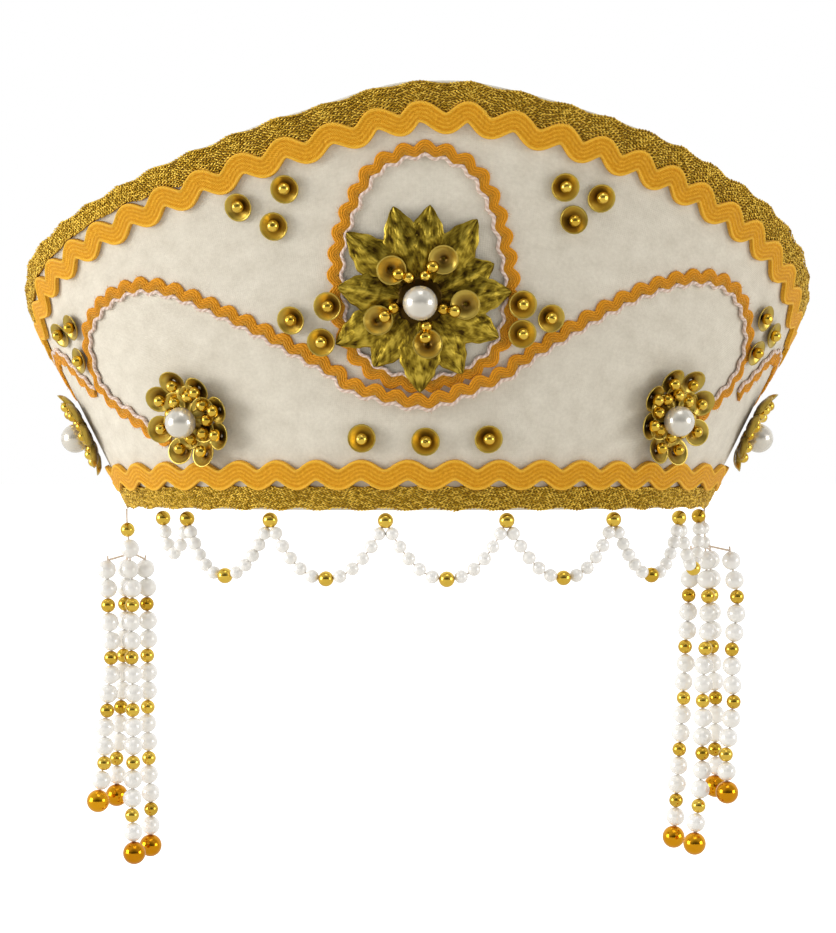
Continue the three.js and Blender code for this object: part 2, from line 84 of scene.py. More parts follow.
def start_finish(name, **shader):
    """A new material, its node tree and its shader, with constants set on the sockets."""
    material = bpy.data.materials.new(name)
    material.use_nodes = True
    tree = material.node_tree
    surface = tree.nodes["Principled BSDF"]
    for socket, value in shader.items():
        surface.inputs[socket.replace("_", " ")].default_value = value
    return material, tree, surface


def dress(tree, surface, colour, height, strength, distance):
    """Gives the shader a colour and the relief of a pattern."""
    bump = add_node(tree, "ShaderNodeBump", {"Strength": strength, "Distance": distance,
                                             "Height": height})
    tree.links.new(colour, surface.inputs["Base Color"])
    tree.links.new(bump.outputs[0], surface.inputs["Normal"])


def two_tones(name, dark, light, grain_scale, detail, relief, grain_share=1.0, own_share=0.0,
              **shader):
    """A material in two tones, mixed by a fine grain and by each copy's own number. relief
    is the strength and the depth of its bump."""
    material, tree, surface = start_finish(name, **shader)
    spot = add_node(tree, "ShaderNodeTexCoord")
    grain = add_node(tree, "ShaderNodeTexNoise", {0: spot.outputs["Object"], "Scale": grain_scale,
                                                  "Detail": detail})
    mixed = grain
    if own_share:
        own = add_node(tree, "ShaderNodeAttribute", attribute_name="chance")
        part = add_node(tree, "ShaderNodeMath", {0: own.outputs["Fac"], 1: own_share},
                        operation="MULTIPLY")
        mixed = add_node(tree, "ShaderNodeMath", {0: grain.outputs[0], 1: grain_share,
                                                  2: part.outputs[0]}, operation="MULTIPLY_ADD")
    tone = add_node(tree, "ShaderNodeMix", {0: mixed.outputs[0], 6: linear(dark),
                                            7: linear(light)}, data_type="RGBA")
    dress(tree, surface, tone.outputs[2], grain.outputs[0], *relief)
    return material


def link_new(name, data):
    """A new object at the origin, in the scene."""
    made = bpy.data.objects.new(name, data)
    bpy.context.scene.collection.objects.link(made)
    return made


floor_level = -0.128
floor_corners = [(-9, -6, floor_level), (9, -6, floor_level), (9, 16, floor_level),
                 (-9, 16, floor_level)]
floor_mesh = bpy.data.meshes.new("studio_floor")
floor_mesh.from_pydata(floor_corners, [], [(0, 1, 2, 3)])
floor = link_new("studio_floor", floor_mesh)
floor_paint, tree, surface = start_finish("pale_studio_paper", Roughness=0.95)
grain = add_node(tree, "ShaderNodeTexNoise", {"Scale": 6.0, "Detail": 2.0})
tone = add_node(tree, "ShaderNodeMix", {0: grain.outputs[0], 6: linear("#D9D6D0"),
                                        7: linear("#E0DDD8")}, data_type="RGBA")
tree.links.new(tone.outputs[2], surface.inputs["Base Color"])
# The paper burns out to white in the photograph, and still lights the piece softly.
looked_at = add_node(tree, "ShaderNodeLightPath")
burnt = add_node(tree, "ShaderNodeMix", {0: looked_at.outputs["Is Camera Ray"], 2: 0.12, 3: 1.0})
surface.inputs["Emission Color"].default_value = linear("#FFFFFF")
tree.links.new(burnt.outputs[0], surface.inputs["Emission Strength"])
floor_mesh.materials.append(floor_paint)

world = bpy.data.worlds.new("studio")
bpy.context.scene.world = world
world.use_nodes = True
tree = world.node_tree
direction = add_node(tree, "ShaderNodeTexCoord")
parts = add_node(tree, "ShaderNodeSeparateXYZ", {0: direction.outputs["Generated"]})
height = add_node(tree, "ShaderNodeMapRange", {"Value": parts.outputs[2], 1: -0.1, 2: 0.45,
                                               3: 0.2, 4: 0.7})
ahead = add_node(tree, "ShaderNodeMapRange", {"Value": parts.outputs[1], 1: -0.95, 2: -0.6,
                                              3: 0.25, 4: 1.0})
from_left = add_node(tree, "ShaderNodeMapRange", {"Value": parts.outputs[0], 1: -0.9, 2: 0.6,
                                                  3: 1.15, 4: 0.8})
open_side = add_node(tree, "ShaderNodeMath", {0: ahead.outputs[0], 1: from_left.outputs[0]},
                     operation="MULTIPLY")
in_front = add_node(tree, "ShaderNodeMath", {0: height.outputs[0], 1: open_side.outputs[0]},
                    operation="MULTIPLY")
behind = add_node(tree, "ShaderNodeMapRange", {"Value": parts.outputs[1], 1: -0.1, 2: 0.3})
soft = add_node(tree, "ShaderNodeMix", {0: behind.outputs[0], 2: in_front.outputs[0], 3: 1.0})
seen = add_node(tree, "ShaderNodeLightPath")
level = add_node(tree, "ShaderNodeMix", {0: seen.outputs["Is Camera Ray"], 2: soft.outputs[0], 3: 1.0})
tree.links.new(level.outputs[0], tree.nodes["Background"].inputs["Strength"])
tree.nodes["Background"].inputs["Color"].default_value = linear("#FFFFFF")


def add_softbox(name, place, aim, size, power):
    """A square studio light that faces a point."""
    lamp = bpy.data.lights.new(name, "AREA")
    lamp.energy = power
    lamp.size = size
    box = link_new(name, lamp)
    box.location = place
    box.rotation_euler = (Vector(aim) - Vector(place)).to_track_quat("-Z", "Y").to_euler()


add_softbox("key_light", (-1.3, -0.45, 0.12), (0, -0.02, 0.03), 0.7, 12.5)
add_softbox("fill_light", (1.3, -0.55, 0.05), (0, -0.02, 0.03), 0.7, 7)
add_softbox("top_light", (0.1, -0.5, 1.2), (0, 0, 0), 0.6, 2)


# Crown
# A stiff band of felt between two layers of white cotton cloth, cut as a cone over a
# flattened ellipse: high over the forehead, lower to the sides, open at the back.
hem_half_width = 0.091
hem_front_depth = 0.068
flare_height = 0.170
flare_ahead = 0.040
crown_height = 0.121
half_wrap = math.radians(112)
wall = 0.003
# Share of the half wrap, and the edge's height on the left and on the right as shares of
# the crown's.
edge_shares = [
    (0, 1.0, 1.0), (0.045, 0.981, 1.0), (0.09, 0.949, 0.982), (0.143, 0.916, 0.954),
    (0.214, 0.866, 0.912), (0.286, 0.818, 0.862), (0.357, 0.77, 0.805), (0.429, 0.725, 0.752),
    (0.5, 0.678, 0.694), (0.571, 0.633, 0.637), (0.643, 0.574, 0.578), (0.8, 0.478, 0.48),
    (1.0, 0.4, 0.4),
]


def edge_height(wrap):
    """Height of the crown's edge at a share of the wrap from -1, the left, to 1."""
    side = 1 if wrap < 0 else 2
    x = min(abs(wrap), 1)
    i = 0
    while i < len(edge_shares) - 2 and edge_shares[i + 1][0] < x:
        i += 1

    def slope(k):
        if k <= 0:
            return 0
        a, b = edge_shares[k - 1], edge_shares[min(k + 1, len(edge_shares) - 1)]
        return (b[side] - a[side]) / (b[0] - a[0])

    a, b = edge_shares[i], edge_shares[i + 1]
    span = b[0] - a[0]
    t = (x - a[0]) / span
    share = a[side] * (2 * t ** 3 - 3 * t ** 2 + 1) + b[side] * (3 * t ** 2 - 2 * t ** 3)
    share += slope(i) * span * (t ** 3 - 2 * t ** 2 + t) + slope(i + 1) * span * (t ** 3 - t ** 2)
    return share * crown_height


def face(wrap, height):
    """Places on the crown's outer face."""
    turn = np.asarray(wrap, float) * half_wrap
    rise = np.asarray(height, float) + 0 * turn
    grow = 1 + rise / flare_height
    return np.stack([
        hem_half_width * np.sin(turn) * grow,
        -flare_ahead + (flare_ahead - hem_front_depth * np.cos(turn)) * grow,
        rise,
    ], -1)


def unit(v):
    """Directions, scaled to length 1."""
    return v / np.linalg.norm(v, axis=-1, keepdims=True)


def face_axes(wrap, height):
    """How a place moves with the wrap and with the height, and the way out of the cloth."""
    wrap, height = np.asarray(wrap, float), np.asarray(height, float)
    around = (face(wrap + 1e-3, height) - face(wrap - 1e-3, height)) * 500
    rise = (face(wrap, height + 1e-4) - face(wrap, height - 1e-4)) * 5000
    return around, rise, unit(np.cross(around, rise))


def off_face(wrap, height, lift):
    """Places off the face by a distance along its normal."""
    out = face_axes(wrap, height)[2]
    return face(wrap, height) + out * np.asarray(lift, float)[..., None]


def slide(wrap, height, way, distance):
    """Moves spots along the face by a distance in a direction that lies in it."""
    around, rise, _ = face_axes(wrap, height)
    aa, ar, rr = (np.sum(p * q, -1) for p, q in ((around, around), (around, rise), (rise, rise)))
    da, dr = np.sum(way * around, -1) * distance, np.sum(way * rise, -1) * distance
    det = aa * rr - ar * ar
    return wrap + (da * rr - dr * ar) / det, height + (dr * aa - da * ar) / det


def skin(name, rings, along, across, looped=False, values=None):
    """A closed body through closed rings, with its lengths in metres as its UV map. values
    are named numbers for each point."""
    rings = np.asarray(rings, float)
    count, width = rings.shape[:2]
    faces, uvs = [], []
    for i in range(count if looped else count - 1):
        a, b = i * width, (i + 1) % count * width
        for j in range(width):
            k = (j + 1) % width
            faces.append((a + j, a + k, b + k, b + j))
            uvs += [(along[i], across[j]), (along[i], across[j + 1]),
                    (along[i + 1], across[j + 1]), (along[i + 1], across[j])]
    if not looped:
        for start in (0, (count - 1) * width):
            faces.append(tuple(range(start, start + width)))
            uvs += [(along[0 if start == 0 else -1], across[j]) for j in range(width)]
    mesh = bpy.data.meshes.new(name)
    mesh.from_pydata(rings.reshape(-1, 3).tolist(), [], faces)
    layer = mesh.uv_layers.new(name="lengths")
    layer.data.foreach_set("uv", np.array(uvs, np.float32).ravel())
    for key, numbers in (values or {}).items():
        mesh.attributes.new(key, "FLOAT", "POINT").data.foreach_set(
            "value", np.asarray(numbers, np.float32).ravel())
    outwards(mesh)
    return link_new(name, mesh)


def outwards(mesh):
    """Turns the faces outwards and shades them smooth."""
    work = bmesh.new()
    work.from_mesh(mesh)
    bmesh.ops.recalc_face_normals(work, faces=work.faces)
    work.to_mesh(mesh)
    work.free()
    mesh.polygons.foreach_set("use_smooth", [True] * len(mesh.polygons))


def lengths(places):
    """Distance along a row of places, from its start."""
    steps = np.linalg.norm(np.diff(places, axis=0), axis=1)
    return np.concatenate([[0], np.cumsum(steps)])


def finish_piece(piece, finish, nodes=()):
    """The piece gets its material, rides on the headdress and stands for the named solids."""
    piece.data.materials.clear()
    piece.data.materials.append(finish)
    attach(piece, "root")
    if nodes:
        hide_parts(*nodes)


end_steps = [0, 0.0002, 0.0005, 0.0009, 0.0015]
mean_radius = 0.116
reach = mean_radius * half_wrap
wraps = np.concatenate([
    [-1 + step / reach for step in end_steps], np.linspace(-0.985, 0.985, 240),
    [1 - step / reach for step in reversed(end_steps)],
])
half = wall / 2
rounding = np.linspace(0, math.pi, 7)[1:-1]
crown_rings = []
for wrap in wraps:
    top = edge_height(wrap)
    from_end = (1 - abs(wrap)) * reach
    thick = half * max(0.12, math.sqrt(max(0, 1 - max(0, 1 - from_end / half) ** 2)))
    outer = [(h, 1.0) for h in np.linspace(half, top - half, 44)]
    over = [(top - half + half * math.sin(a), math.cos(a)) for a in rounding]
    inner = [(h, -1.0) for h in np.linspace(top - half, half, 24)]
    under = [(half - half * math.sin(a), -math.cos(a)) for a in rounding]
    section = np.array(outer + over + inner + under)
    places = off_face(wrap, section[:, 0], -half + thick * section[:, 1])
    # The cloth lies over the felt with soft swells a few centimetres across.
    swell = [0.00013 * noise.noise(Vector(p) * 45) + 0.00006 * noise.noise(Vector(p) * 160)
             for p in places]
    out = face_axes(wrap, section[:, 0])[2]
    crown_rings.append(places + out * np.array(swell)[:, None])
# The lengths across the cloth are those of a ring near the middle.
crown_across = lengths(np.vstack([crown_rings[120], crown_rings[120][:1]]))
crown = skin("crown_cloth", crown_rings, (wraps + 1) * reach, crown_across)

# Plain-woven white cotton, unbleached and matt. Its threads lie 0.25 mm apart, drawn
# 0.6 mm apart so that they show, and a short nap breaks them up.
cloth, tree, surface = start_finish("white_cotton_plain_weave", Roughness=0.92, Sheen_Weight=0.15,
                                    Sheen_Roughness=0.5, Specular_IOR_Level=0.25)
thread_spacing = 0.6
wave_unit = 0.314  # a wave texture of scale 1 repeats after this length


def lengths_in_mm(tree):
    """The piece's own lengths along and across, in millimetres, for what follows its cloth."""
    own = add_node(tree, "ShaderNodeUVMap", uv_map="lengths")
    scaled = add_node(tree, "ShaderNodeMapping", {0: own.outputs[0], "Scale": (1000, 1000, 1000)})
    return scaled.outputs[0]


in_mm = lengths_in_mm(tree)
woven = {0: in_mm, "Scale": wave_unit / thread_spacing, "Distortion": 1.6, "Detail": 1.0}
warp = add_node(tree, "ShaderNodeTexWave", woven, bands_direction="X")
weft = add_node(tree, "ShaderNodeTexWave", woven, bands_direction="Y")
weave = add_node(tree, "ShaderNodeMath", {0: warp.outputs["Fac"], 1: weft.outputs["Fac"]},
                 operation="ADD")
nap = add_node(tree, "ShaderNodeTexNoise", {0: in_mm, "Scale": 0.9, "Detail": 5.0,
                                            "Roughness": 0.65})
cloud = add_node(tree, "ShaderNodeTexNoise", {0: in_mm, "Scale": 0.16, "Detail": 3.0})
blend = add_node(tree, "ShaderNodeMath", {0: nap.outputs[0], 1: cloud.outputs[0]}, operation="ADD")
shade = add_node(tree, "ShaderNodeMapRange", {"Value": blend.outputs[0], 1: 0.7, 2: 1.3})
cloth_colour = add_node(tree, "ShaderNodeMix", {0: shade.outputs[0], 6: linear("#D3CBBA"),
                                                7: linear("#E6DFCF")}, data_type="RGBA")
relief = add_node(tree, "ShaderNodeMath", {0: weave.outputs[0], 1: 0.5, 2: nap.outputs[0]},
                  operation="MULTIPLY_ADD")
dress(tree, surface, cloth_colour.outputs[2], relief.outputs[0], 0.5, 0.0001)
finish_piece(crown, cloth, ["crown_wall"])


# Gold braid on the edge and on the hem
# Metallic thread over a brown core, knitted into a narrow band with a scalloped edge and
# sewn flat on the cloth. It catches the light in many small points.
wide_wave = 0.0134
braid_reach = 0.985
# How far the waves are shifted along by hand, in metres, at shares of the wrap.
hand_shifts = {
    "edge": [(-0.2, 0), (-0.04, 0.0019), (0.055, 0.0045), (0.147, 0.0064), (0.235, 0.0049),
             (0.33, 0.002), (0.45, 0)],
    "hem": [(-0.3, -0.0023), (-0.227, -0.004), (-0.15, -0.0057), (0.06, -0.0059), (0.2, -0.0072),
            (0.335, -0.0095), (0.465, -0.013)],
}


def base_line(at):
    """Spots along the crown's edge or its hem, their direction and their distance along."""
    wrap = np.linspace(-braid_reach, braid_reach, 3000)
    height = np.array([edge_height(w) for w in wrap]) if at == "edge" else 0 * wrap
    return wrap, height, lengths(face(wrap, height))


def beside_line(at, distance, aside):
    """Spots beside the crown's edge or hem, by the distance along and the distance aside."""
    wrap, height, run = base_line(at)
    w = np.interp(distance, run, wrap)
    h = np.interp(distance, run, height)
    after, before = (face(np.interp(d, run, wrap), np.interp(d, run, height))
                     for d in (distance + 1e-4, distance - 1e-4))
    way = unit(after - before)
    side = unit(np.cross(face_axes(w, h)[2], way))
    return slide(w, h, side, aside)


def wide_waves(at):
    """Length of the line, half a wave's length, and the wave, which is laid by hand and runs
    a little unevenly."""
    wrap, _, run = base_line(at)
    whole = run[-1]
    half_wave = whole / round(whole / (wide_wave / 2))
    shift = np.interp(wrap, *zip(*hand_shifts[at]))

    def wave(distance):
        return np.cos(math.pi * (distance - np.interp(distance, run, shift)) / half_wave)

    return whole, half_wave, wave


def turned_piece(name, profile, sides):
    """A small body turned about Z from a profile of radius and height, closed at its poles."""
    points, rows = [], []
    for radius, height in profile:
        if radius == 0:
            rows.append([len(points)] * sides)
            points.append((0, 0, height))
        else:
            rows.append(list(range(len(points), len(points) + sides)))
            turns = [2 * math.pi * k / sides for k in range(sides)]
            points += [(radius * math.cos(a), radius * math.sin(a), height) for a in turns]
    faces = []
    for a, b in zip(rows, rows[1:]):
        for k in range(sides):
            corners = [a[k], a[(k + 1) % sides], b[(k + 1) % sides], b[k]]
            faces.append(tuple(dict.fromkeys(corners)))
    mesh = bpy.data.meshes.new(name)
    mesh.from_pydata(points, [], faces)
    outwards(mesh)
    return link_new(name, mesh)


# One tree of Geometry Nodes puts a copy of a small body on every spot, turned and sized by
# the spot's own values, and gives each copy a number of its own for small differences.
copies_tree = bpy.data.node_groups.new("copies_on_spots", "GeometryNodeTree")
copies_tree.interface.new_socket("Geometry", in_out="INPUT", socket_type="NodeSocketGeometry")
copies_inputs = {
    name: copies_tree.interface.new_socket(name, in_out="INPUT", socket_type=kind).identifier
    for name, kind in (("Body", "NodeSocketObject"), ("Seed", "NodeSocketInt"))
}
copies_tree.interface.new_socket("Geometry", in_out="OUTPUT", socket_type="NodeSocketGeometry")
given = add_node(copies_tree, "NodeGroupInput")
turn_value = add_node(copies_tree, "GeometryNodeInputNamedAttribute", {"Name": "turn"},
                      data_type="QUATERNION")
grow_value = add_node(copies_tree, "GeometryNodeInputNamedAttribute", {"Name": "grow"},
                      data_type="FLOAT_VECTOR")
body = add_node(copies_tree, "GeometryNodeObjectInfo", {"Object": given.outputs["Body"]})
placed = add_node(copies_tree, "GeometryNodeInstanceOnPoints", {
    "Points": given.outputs["Geometry"], "Instance": body.outputs["Geometry"],
    "Rotation": turn_value.outputs[0], "Scale": grow_value.outputs[0]})
chance = add_node(copies_tree, "FunctionNodeRandomValue", {"Seed": given.outputs["Seed"]},
                  data_type="FLOAT")
numbered = add_node(copies_tree, "GeometryNodeStoreNamedAttribute", {
    "Geometry": placed.outputs[0], "Name": "chance", "Value": chance.outputs[1]},
    data_type="FLOAT", domain="INSTANCE")
real = add_node(copies_tree, "GeometryNodeRealizeInstances", {0: numbered.outputs[0]})
add_node(copies_tree, "NodeGroupOutput", {0: real.outputs[0]})


def copies(name, body, spots, finish, nodes=(), seed=1):
    """A piece of plain copies of the body, one at each spot: its place, turn and growth."""
    places, turns, grows = zip(*spots)
    sizes = [g if hasattr(g, "__len__") else (g, g, g) for g in grows]
    mesh = bpy.data.meshes.new(name + "_spots")
    mesh.from_pydata([tuple(p) for p in places], [], [])
    mesh.attributes.new("turn", "QUATERNION", "POINT").data.foreach_set(
        "value", np.array([tuple(q) for q in turns], np.float32).ravel())
    mesh.attributes.new("grow", "FLOAT_VECTOR", "POINT").data.foreach_set(
        "vector", np.array(sizes, np.float32).ravel())
    holder = link_new(name + "_spots", mesh)
    modifier = holder.modifiers.new("copies", "NODES")
    modifier.node_group = copies_tree
    modifier[copies_inputs["Body"]] = body
    modifier[copies_inputs["Seed"]] = seed
    bpy.context.view_layer.update()
    ready = holder.evaluated_get(bpy.context.evaluated_depsgraph_get())
    made = bpy.data.meshes.new_from_object(ready)
    bpy.data.objects.remove(holder)
    bpy.data.objects.remove(body)
    finish_piece(link_new(name, made), finish, nodes)


def turn_to(across, up, out):
    """The turn that takes X, Y and Z to three directions at right angles."""
    return Matrix((tuple(across), tuple(up), tuple(out))).transposed().to_quaternion()


rng = np.random.default_rng(5)


def knit(at, lower, upper, lift, rows):
    """Spots of the stitches of a knitted band: pairs of short slanted lengths of thread, in
    rows between a lower and an upper edge."""
    whole, _, wave_at = wide_waves(at)
    pitch, half_stitch = 0.00095, 0.0006
    count = int(whole / pitch)
    spots = []
    for row in range(rows):
        share = (row + 0.5) / rows
        run = (np.arange(count) + 0.5 + 0.5 * (row % 2)) * whole / (count + 1)
        share_out = 2 * run / whole - 1
        low, high = lower(wave_at(run), share_out), upper(wave_at(run), share_out)
        aside = low + (high - low) * share
        for lean in (-1, 1):
            strand = lean * 0.26 * (high - low) / rows
            w, h = beside_line(at, run, aside + strand + rng.normal(0, 0.00005, len(run)))
            ahead_w, ahead_h = beside_line(at, run + half_stitch,
                                           aside + strand - 0.5 * half_stitch * lean)
            place = off_face(w, h, lift + rng.uniform(-0.0001, 0.0002, len(run)))
            level = lift + 0 * run
            way = unit(off_face(ahead_w, ahead_h, level) - off_face(w, h, level))
            out = face_axes(w, h)[2]
            for p, x, z in zip(place, way, out):
                z = unit(z + rng.normal(0, 0.16, 3))
                z = unit(z - x * np.dot(x, z))
                grow = rng.uniform(0.85, 1.2)
                spots.append((p, turn_to(x, np.cross(z, x), z), (grow, grow, grow)))
    return spots


def flat_band(name, at, lower, upper, lift, thickness):
    """The ground of a braid: a thin band between its edges."""
    whole, _, wave_at = wide_waves(at)
    run = np.linspace(0.0002, whole - 0.0002, int(whole / 0.001))
    share_out = 2 * run / whole - 1
    low, high = lower(wave_at(run), share_out), upper(wave_at(run), share_out)
    corners = []
    for share, rise in [(0, 0), (0.04, 0.8), (0.3, 1), (0.5, 1.05), (0.7, 1), (0.96, 0.8), (1, 0),
                        (0.5, 0)]:
        w, h = beside_line(at, run, low + (high - low) * share)
        corners.append(off_face(w, h, lift + thickness * rise + 0 * run))
    rings = np.stack(corners, 1)
    return skin(name, rings, run, np.linspace(0, 0.02, len(corners) + 1))


# Metallic thread: brass-coloured foil, slit and wound on a brown core, bright and rough.
foil_thread, tree, surface = start_finish("knitted_metallic_thread", Metallic=0.8,
                                          Roughness=0.45)
tint = add_node(tree, "ShaderNodeAttribute", attribute_name="chance")
spark = add_node(tree, "ShaderNodeTexCoord")
grain = add_node(tree, "ShaderNodeTexNoise", {0: spark.outputs["Object"], "Scale": 1400.0,
                                              "Detail": 2.0})
mixed = add_node(tree, "ShaderNodeMath", {0: tint.outputs["Fac"], 1: 0.65, 2: grain.outputs[0]},
                 operation="MULTIPLY_ADD")
ramp = add_node(tree, "ShaderNodeValToRGB", {0: mixed.outputs[0]},
                [(0.2, "#866412"), (0.72, "#BA9222"), (1.0, "#EAC650")])
dress(tree, surface, ramp.outputs[0], grain.outputs[0], 0.6, 0.0002)

core = two_tones("brown_core_thread", "#7A5C14", "#B48C2A", 900.0, 3.0, (0.7, 0.0002),
                 Metallic=0.3, Roughness=0.7)


def top_lower(wave, out):
    """Lower edge of the top braid, by the share along it. On the left it is straighter and
    bares the cloth in the dips of the rick-rack."""
    bare = np.clip((-out - 0.3) * 6, 0, 1)
    nested = -0.0078 + 0.0015 * np.abs(out) - 0.0015 * wave
    return nested * (1 - bare) + (-0.0053 - 0.0002 * wave) * bare


gold_braids = [
    ("top_gold_braid", "edge", top_lower,
     lambda wave, out: -0.0003 + 0.0007 * np.abs(out) - 0.0004 * wave, 6),
    ("hem_gold_braid", "hem", lambda wave, out: 0.0007 + 0.0004 * wave,
     lambda wave, out: 0.0078 + 0.0006 * wave, 7),
]
for braid, at, lower, upper, rows in gold_braids:
    ground = flat_band(braid + "_ground", at, lower, upper, 0.00005, 0.0006)
    finish_piece(ground, core)
    stitch = turned_piece("stitch", [(0, -0.00062), (0.0002, -0.0004), (0.00027, 0),
                                     (0.0002, 0.0004), (0, 0.00062)], 5)
    stitch.data.transform(Matrix.Rotation(math.pi / 2, 4, "Y"))
    copies(braid + "_stitches", stitch, knit(at, lower, upper, 0.00085, rows), foil_thread,
           [braid])


# Broad rick-rack inside each gold braid
# A flat cotton braid pulled into even waves, with a thin raised cord along both edges. It
# is sewn down along its middle, wave in wave with the gold braid.
def lay_band(name, wrap, height, lift, profile, straight=None, looped=False, values=None):
    """A band with a cross-section, laid along spots on the face. straight, where given, is
    the sideways direction of the unwaved line, and keeps the inner bends from folding."""
    place = face(wrap, height)
    if looped:
        way = unit(np.roll(place, -1, 0) - np.roll(place, 1, 0))
    else:
        way = unit(np.gradient(place, axis=0))
    side = unit(np.cross(face_axes(wrap, height)[2], way))
    if straight is not None:
        side = unit(side + straight)
    columns = []
    for aside, rise in profile:
        w, h = slide(wrap, height, side, aside)
        columns.append(off_face(w, h, lift + rise))
    run = lengths(np.vstack([place, place[:1]]) if looped else place)
    girth = lengths(np.array([*profile, profile[0]]))
    spread = {key: np.tile(numbers, (len(place), 1)) for key, numbers in (values or {}).items()}
    return skin(name, np.stack(columns, 1), run, girth, looped, spread)


rick_half = 0.00305
ridge_half = 0.00038
rib_spacing = 0.00115
across_spots = np.linspace(-rick_half, rick_half, 33)
rick_profile = []
rick_edge_highlight = []
for aside in across_spots:
    to_cord = abs(abs(aside) - (rick_half - ridge_half)) / ridge_half
    cord_rise = 0.0011 + ridge_half * math.sqrt(max(0, 1 - to_cord ** 2))
    rib = math.cos(2 * math.pi * aside / rib_spacing)
    on_cord = to_cord < 1
    rick_profile.append((aside, cord_rise if on_cord else 0.00118 + 0.00005 * rib))
    # Painted highlight: the colour share is highest on the raised cords, and a little higher on the
    # rib crests than in the grooves.
    rick_edge_highlight.append(1.0 if on_cord else 0.3 + 0.1 * rib)
rick_profile += [(rick_half, 0.0), (0.0, 0.0), (-rick_half, 0.0)]
rick_edge_highlight += [0.6, 0, 0.6]

# Mercerised cotton, yellow-orange, matt with a soft lustre. Its threads run slantwise from
# the middle to the edges, 0.5 mm apart, drawn 0.7 mm apart so that they show.
rick_cotton, tree, surface = start_finish("orange_cotton_braid", Roughness=0.8, Sheen_Weight=0.12,
                                          Sheen_Roughness=0.4, Specular_IOR_Level=0.3)
in_mm = lengths_in_mm(tree)
axes = add_node(tree, "ShaderNodeSeparateXYZ", {0: in_mm})
from_middle = add_node(tree, "ShaderNodeMath", {0: axes.outputs[1], 1: rick_half * 1000},
                       operation="SUBTRACT")
mirrored = add_node(tree, "ShaderNodeMath", {0: from_middle.outputs[0]}, operation="ABSOLUTE")
slanted = add_node(tree, "ShaderNodeMath", {0: axes.outputs[0], 1: mirrored.outputs[0]},
                   operation="ADD")
slant_line = add_node(tree, "ShaderNodeCombineXYZ", {0: slanted.outputs[0]})
threads = add_node(tree, "ShaderNodeTexWave", {0: slant_line.outputs[0], "Scale": wave_unit / 0.7})
fuzz = add_node(tree, "ShaderNodeTexNoise", {0: in_mm, "Scale": 1.1, "Detail": 5.0,
                                             "Roughness": 0.7})
# The raised cords and rib crests are painted lighter, as a highlight.
raised_highlight = add_node(tree, "ShaderNodeAttribute", attribute_name="edge")
lit = add_node(tree, "ShaderNodeMath", {0: fuzz.outputs[0], 1: 0.9, 2: raised_highlight.outputs["Fac"]},
               operation="MULTIPLY_ADD")
tones = add_node(tree, "ShaderNodeValToRGB", {0: lit.outputs[0]},
                 [(0.4, "#C67F05"), (0.72, "#DF9A0A"), (1.0, "#F6BC34")])
relief = add_node(tree, "ShaderNodeMath", {0: threads.outputs["Fac"], 1: 0.6, 2: fuzz.outputs[0]},
                  operation="MULTIPLY_ADD")
dress(tree, surface, tones.outputs[0], relief.outputs[0], 0.8, 0.00025)

broad_bands = [("top_rickrack", "edge", -0.0102, 0.0017), ("hem_rickrack", "hem", 0.0109, 0.0014)]
for braid, at, centre, swing in broad_bands:
    whole, half_wave, wave_at = wide_waves(at)
    run = np.linspace(0.0005, whole - 0.0005, int(whole / half_wave) * 12)
    wave = wave_at(run)
    w, h = beside_line(at, run, centre - swing * wave)
    up_w, up_h = beside_line(at, run, centre - swing * wave + 0.0005)
    upwards = unit(face(up_w, up_h) - face(w, h))
    band = lay_band(braid + "_cotton", w, h, 0.00035, rick_profile, straight=upwards,
                    values={"edge": rick_edge_highlight})
    finish_piece(band, rick_cotton, [braid])


# Narrow rick-rack
# The same kind of braid at half the size, five strands wide, orange on one side and
# yellow on the other. It is laid as an egg round the flower, as two scrolls that meet under
# it, and on round each side. A thin pinkish-white cord is sewn along its yellow edge.
seat = 0.0004
over_trim = 0.0016
narrow_wave = 0.0061
# Each spot is a share of the wrap and of the crown's height, and 1 where it lies over a trim.
oval_spots = [
    (0.008, 0.847), (-0.0383, 0.813), (-0.0604, 0.755), (-0.0868, 0.635), (-0.0942, 0.52),
    (-0.088, 0.4), (-0.054, 0.328), (0.01, 0.302), (0.07, 0.33), (0.106, 0.395),
    (0.1125, 0.51), (0.097, 0.64), (0.0779, 0.74), (0.0523, 0.812),
]
scroll_spots = [
    (-0.408, 0.172), (-0.441, 0.188), (-0.476, 0.226), (-0.52, 0.27), (-0.539, 0.32),
    (-0.53, 0.37), (-0.511, 0.43), (-0.466, 0.487), (-0.41, 0.53), (-0.354, 0.549),
    (-0.3, 0.5275), (-0.2125, 0.4485), (-0.13, 0.361), (-0.06, 0.288, 1), (0.01, 0.264, 1),
    (0.077, 0.302, 1), (0.162, 0.397), (0.245, 0.497), (0.288, 0.537), (0.336, 0.564),
    (0.386, 0.568), (0.437, 0.541), (0.482, 0.487), (0.516, 0.427), (0.531, 0.373),
    (0.526, 0.315), (0.503, 0.271), (0.47, 0.228),
]
side_spots = [
    (0.566, 0.29), (0.6, 0.335), (0.637, 0.385), (0.68, 0.392), (0.73, 0.37), (0.785, 0.33),
    (0.84, 0.27), (0.89, 0.21), (0.955, 0.19),
]


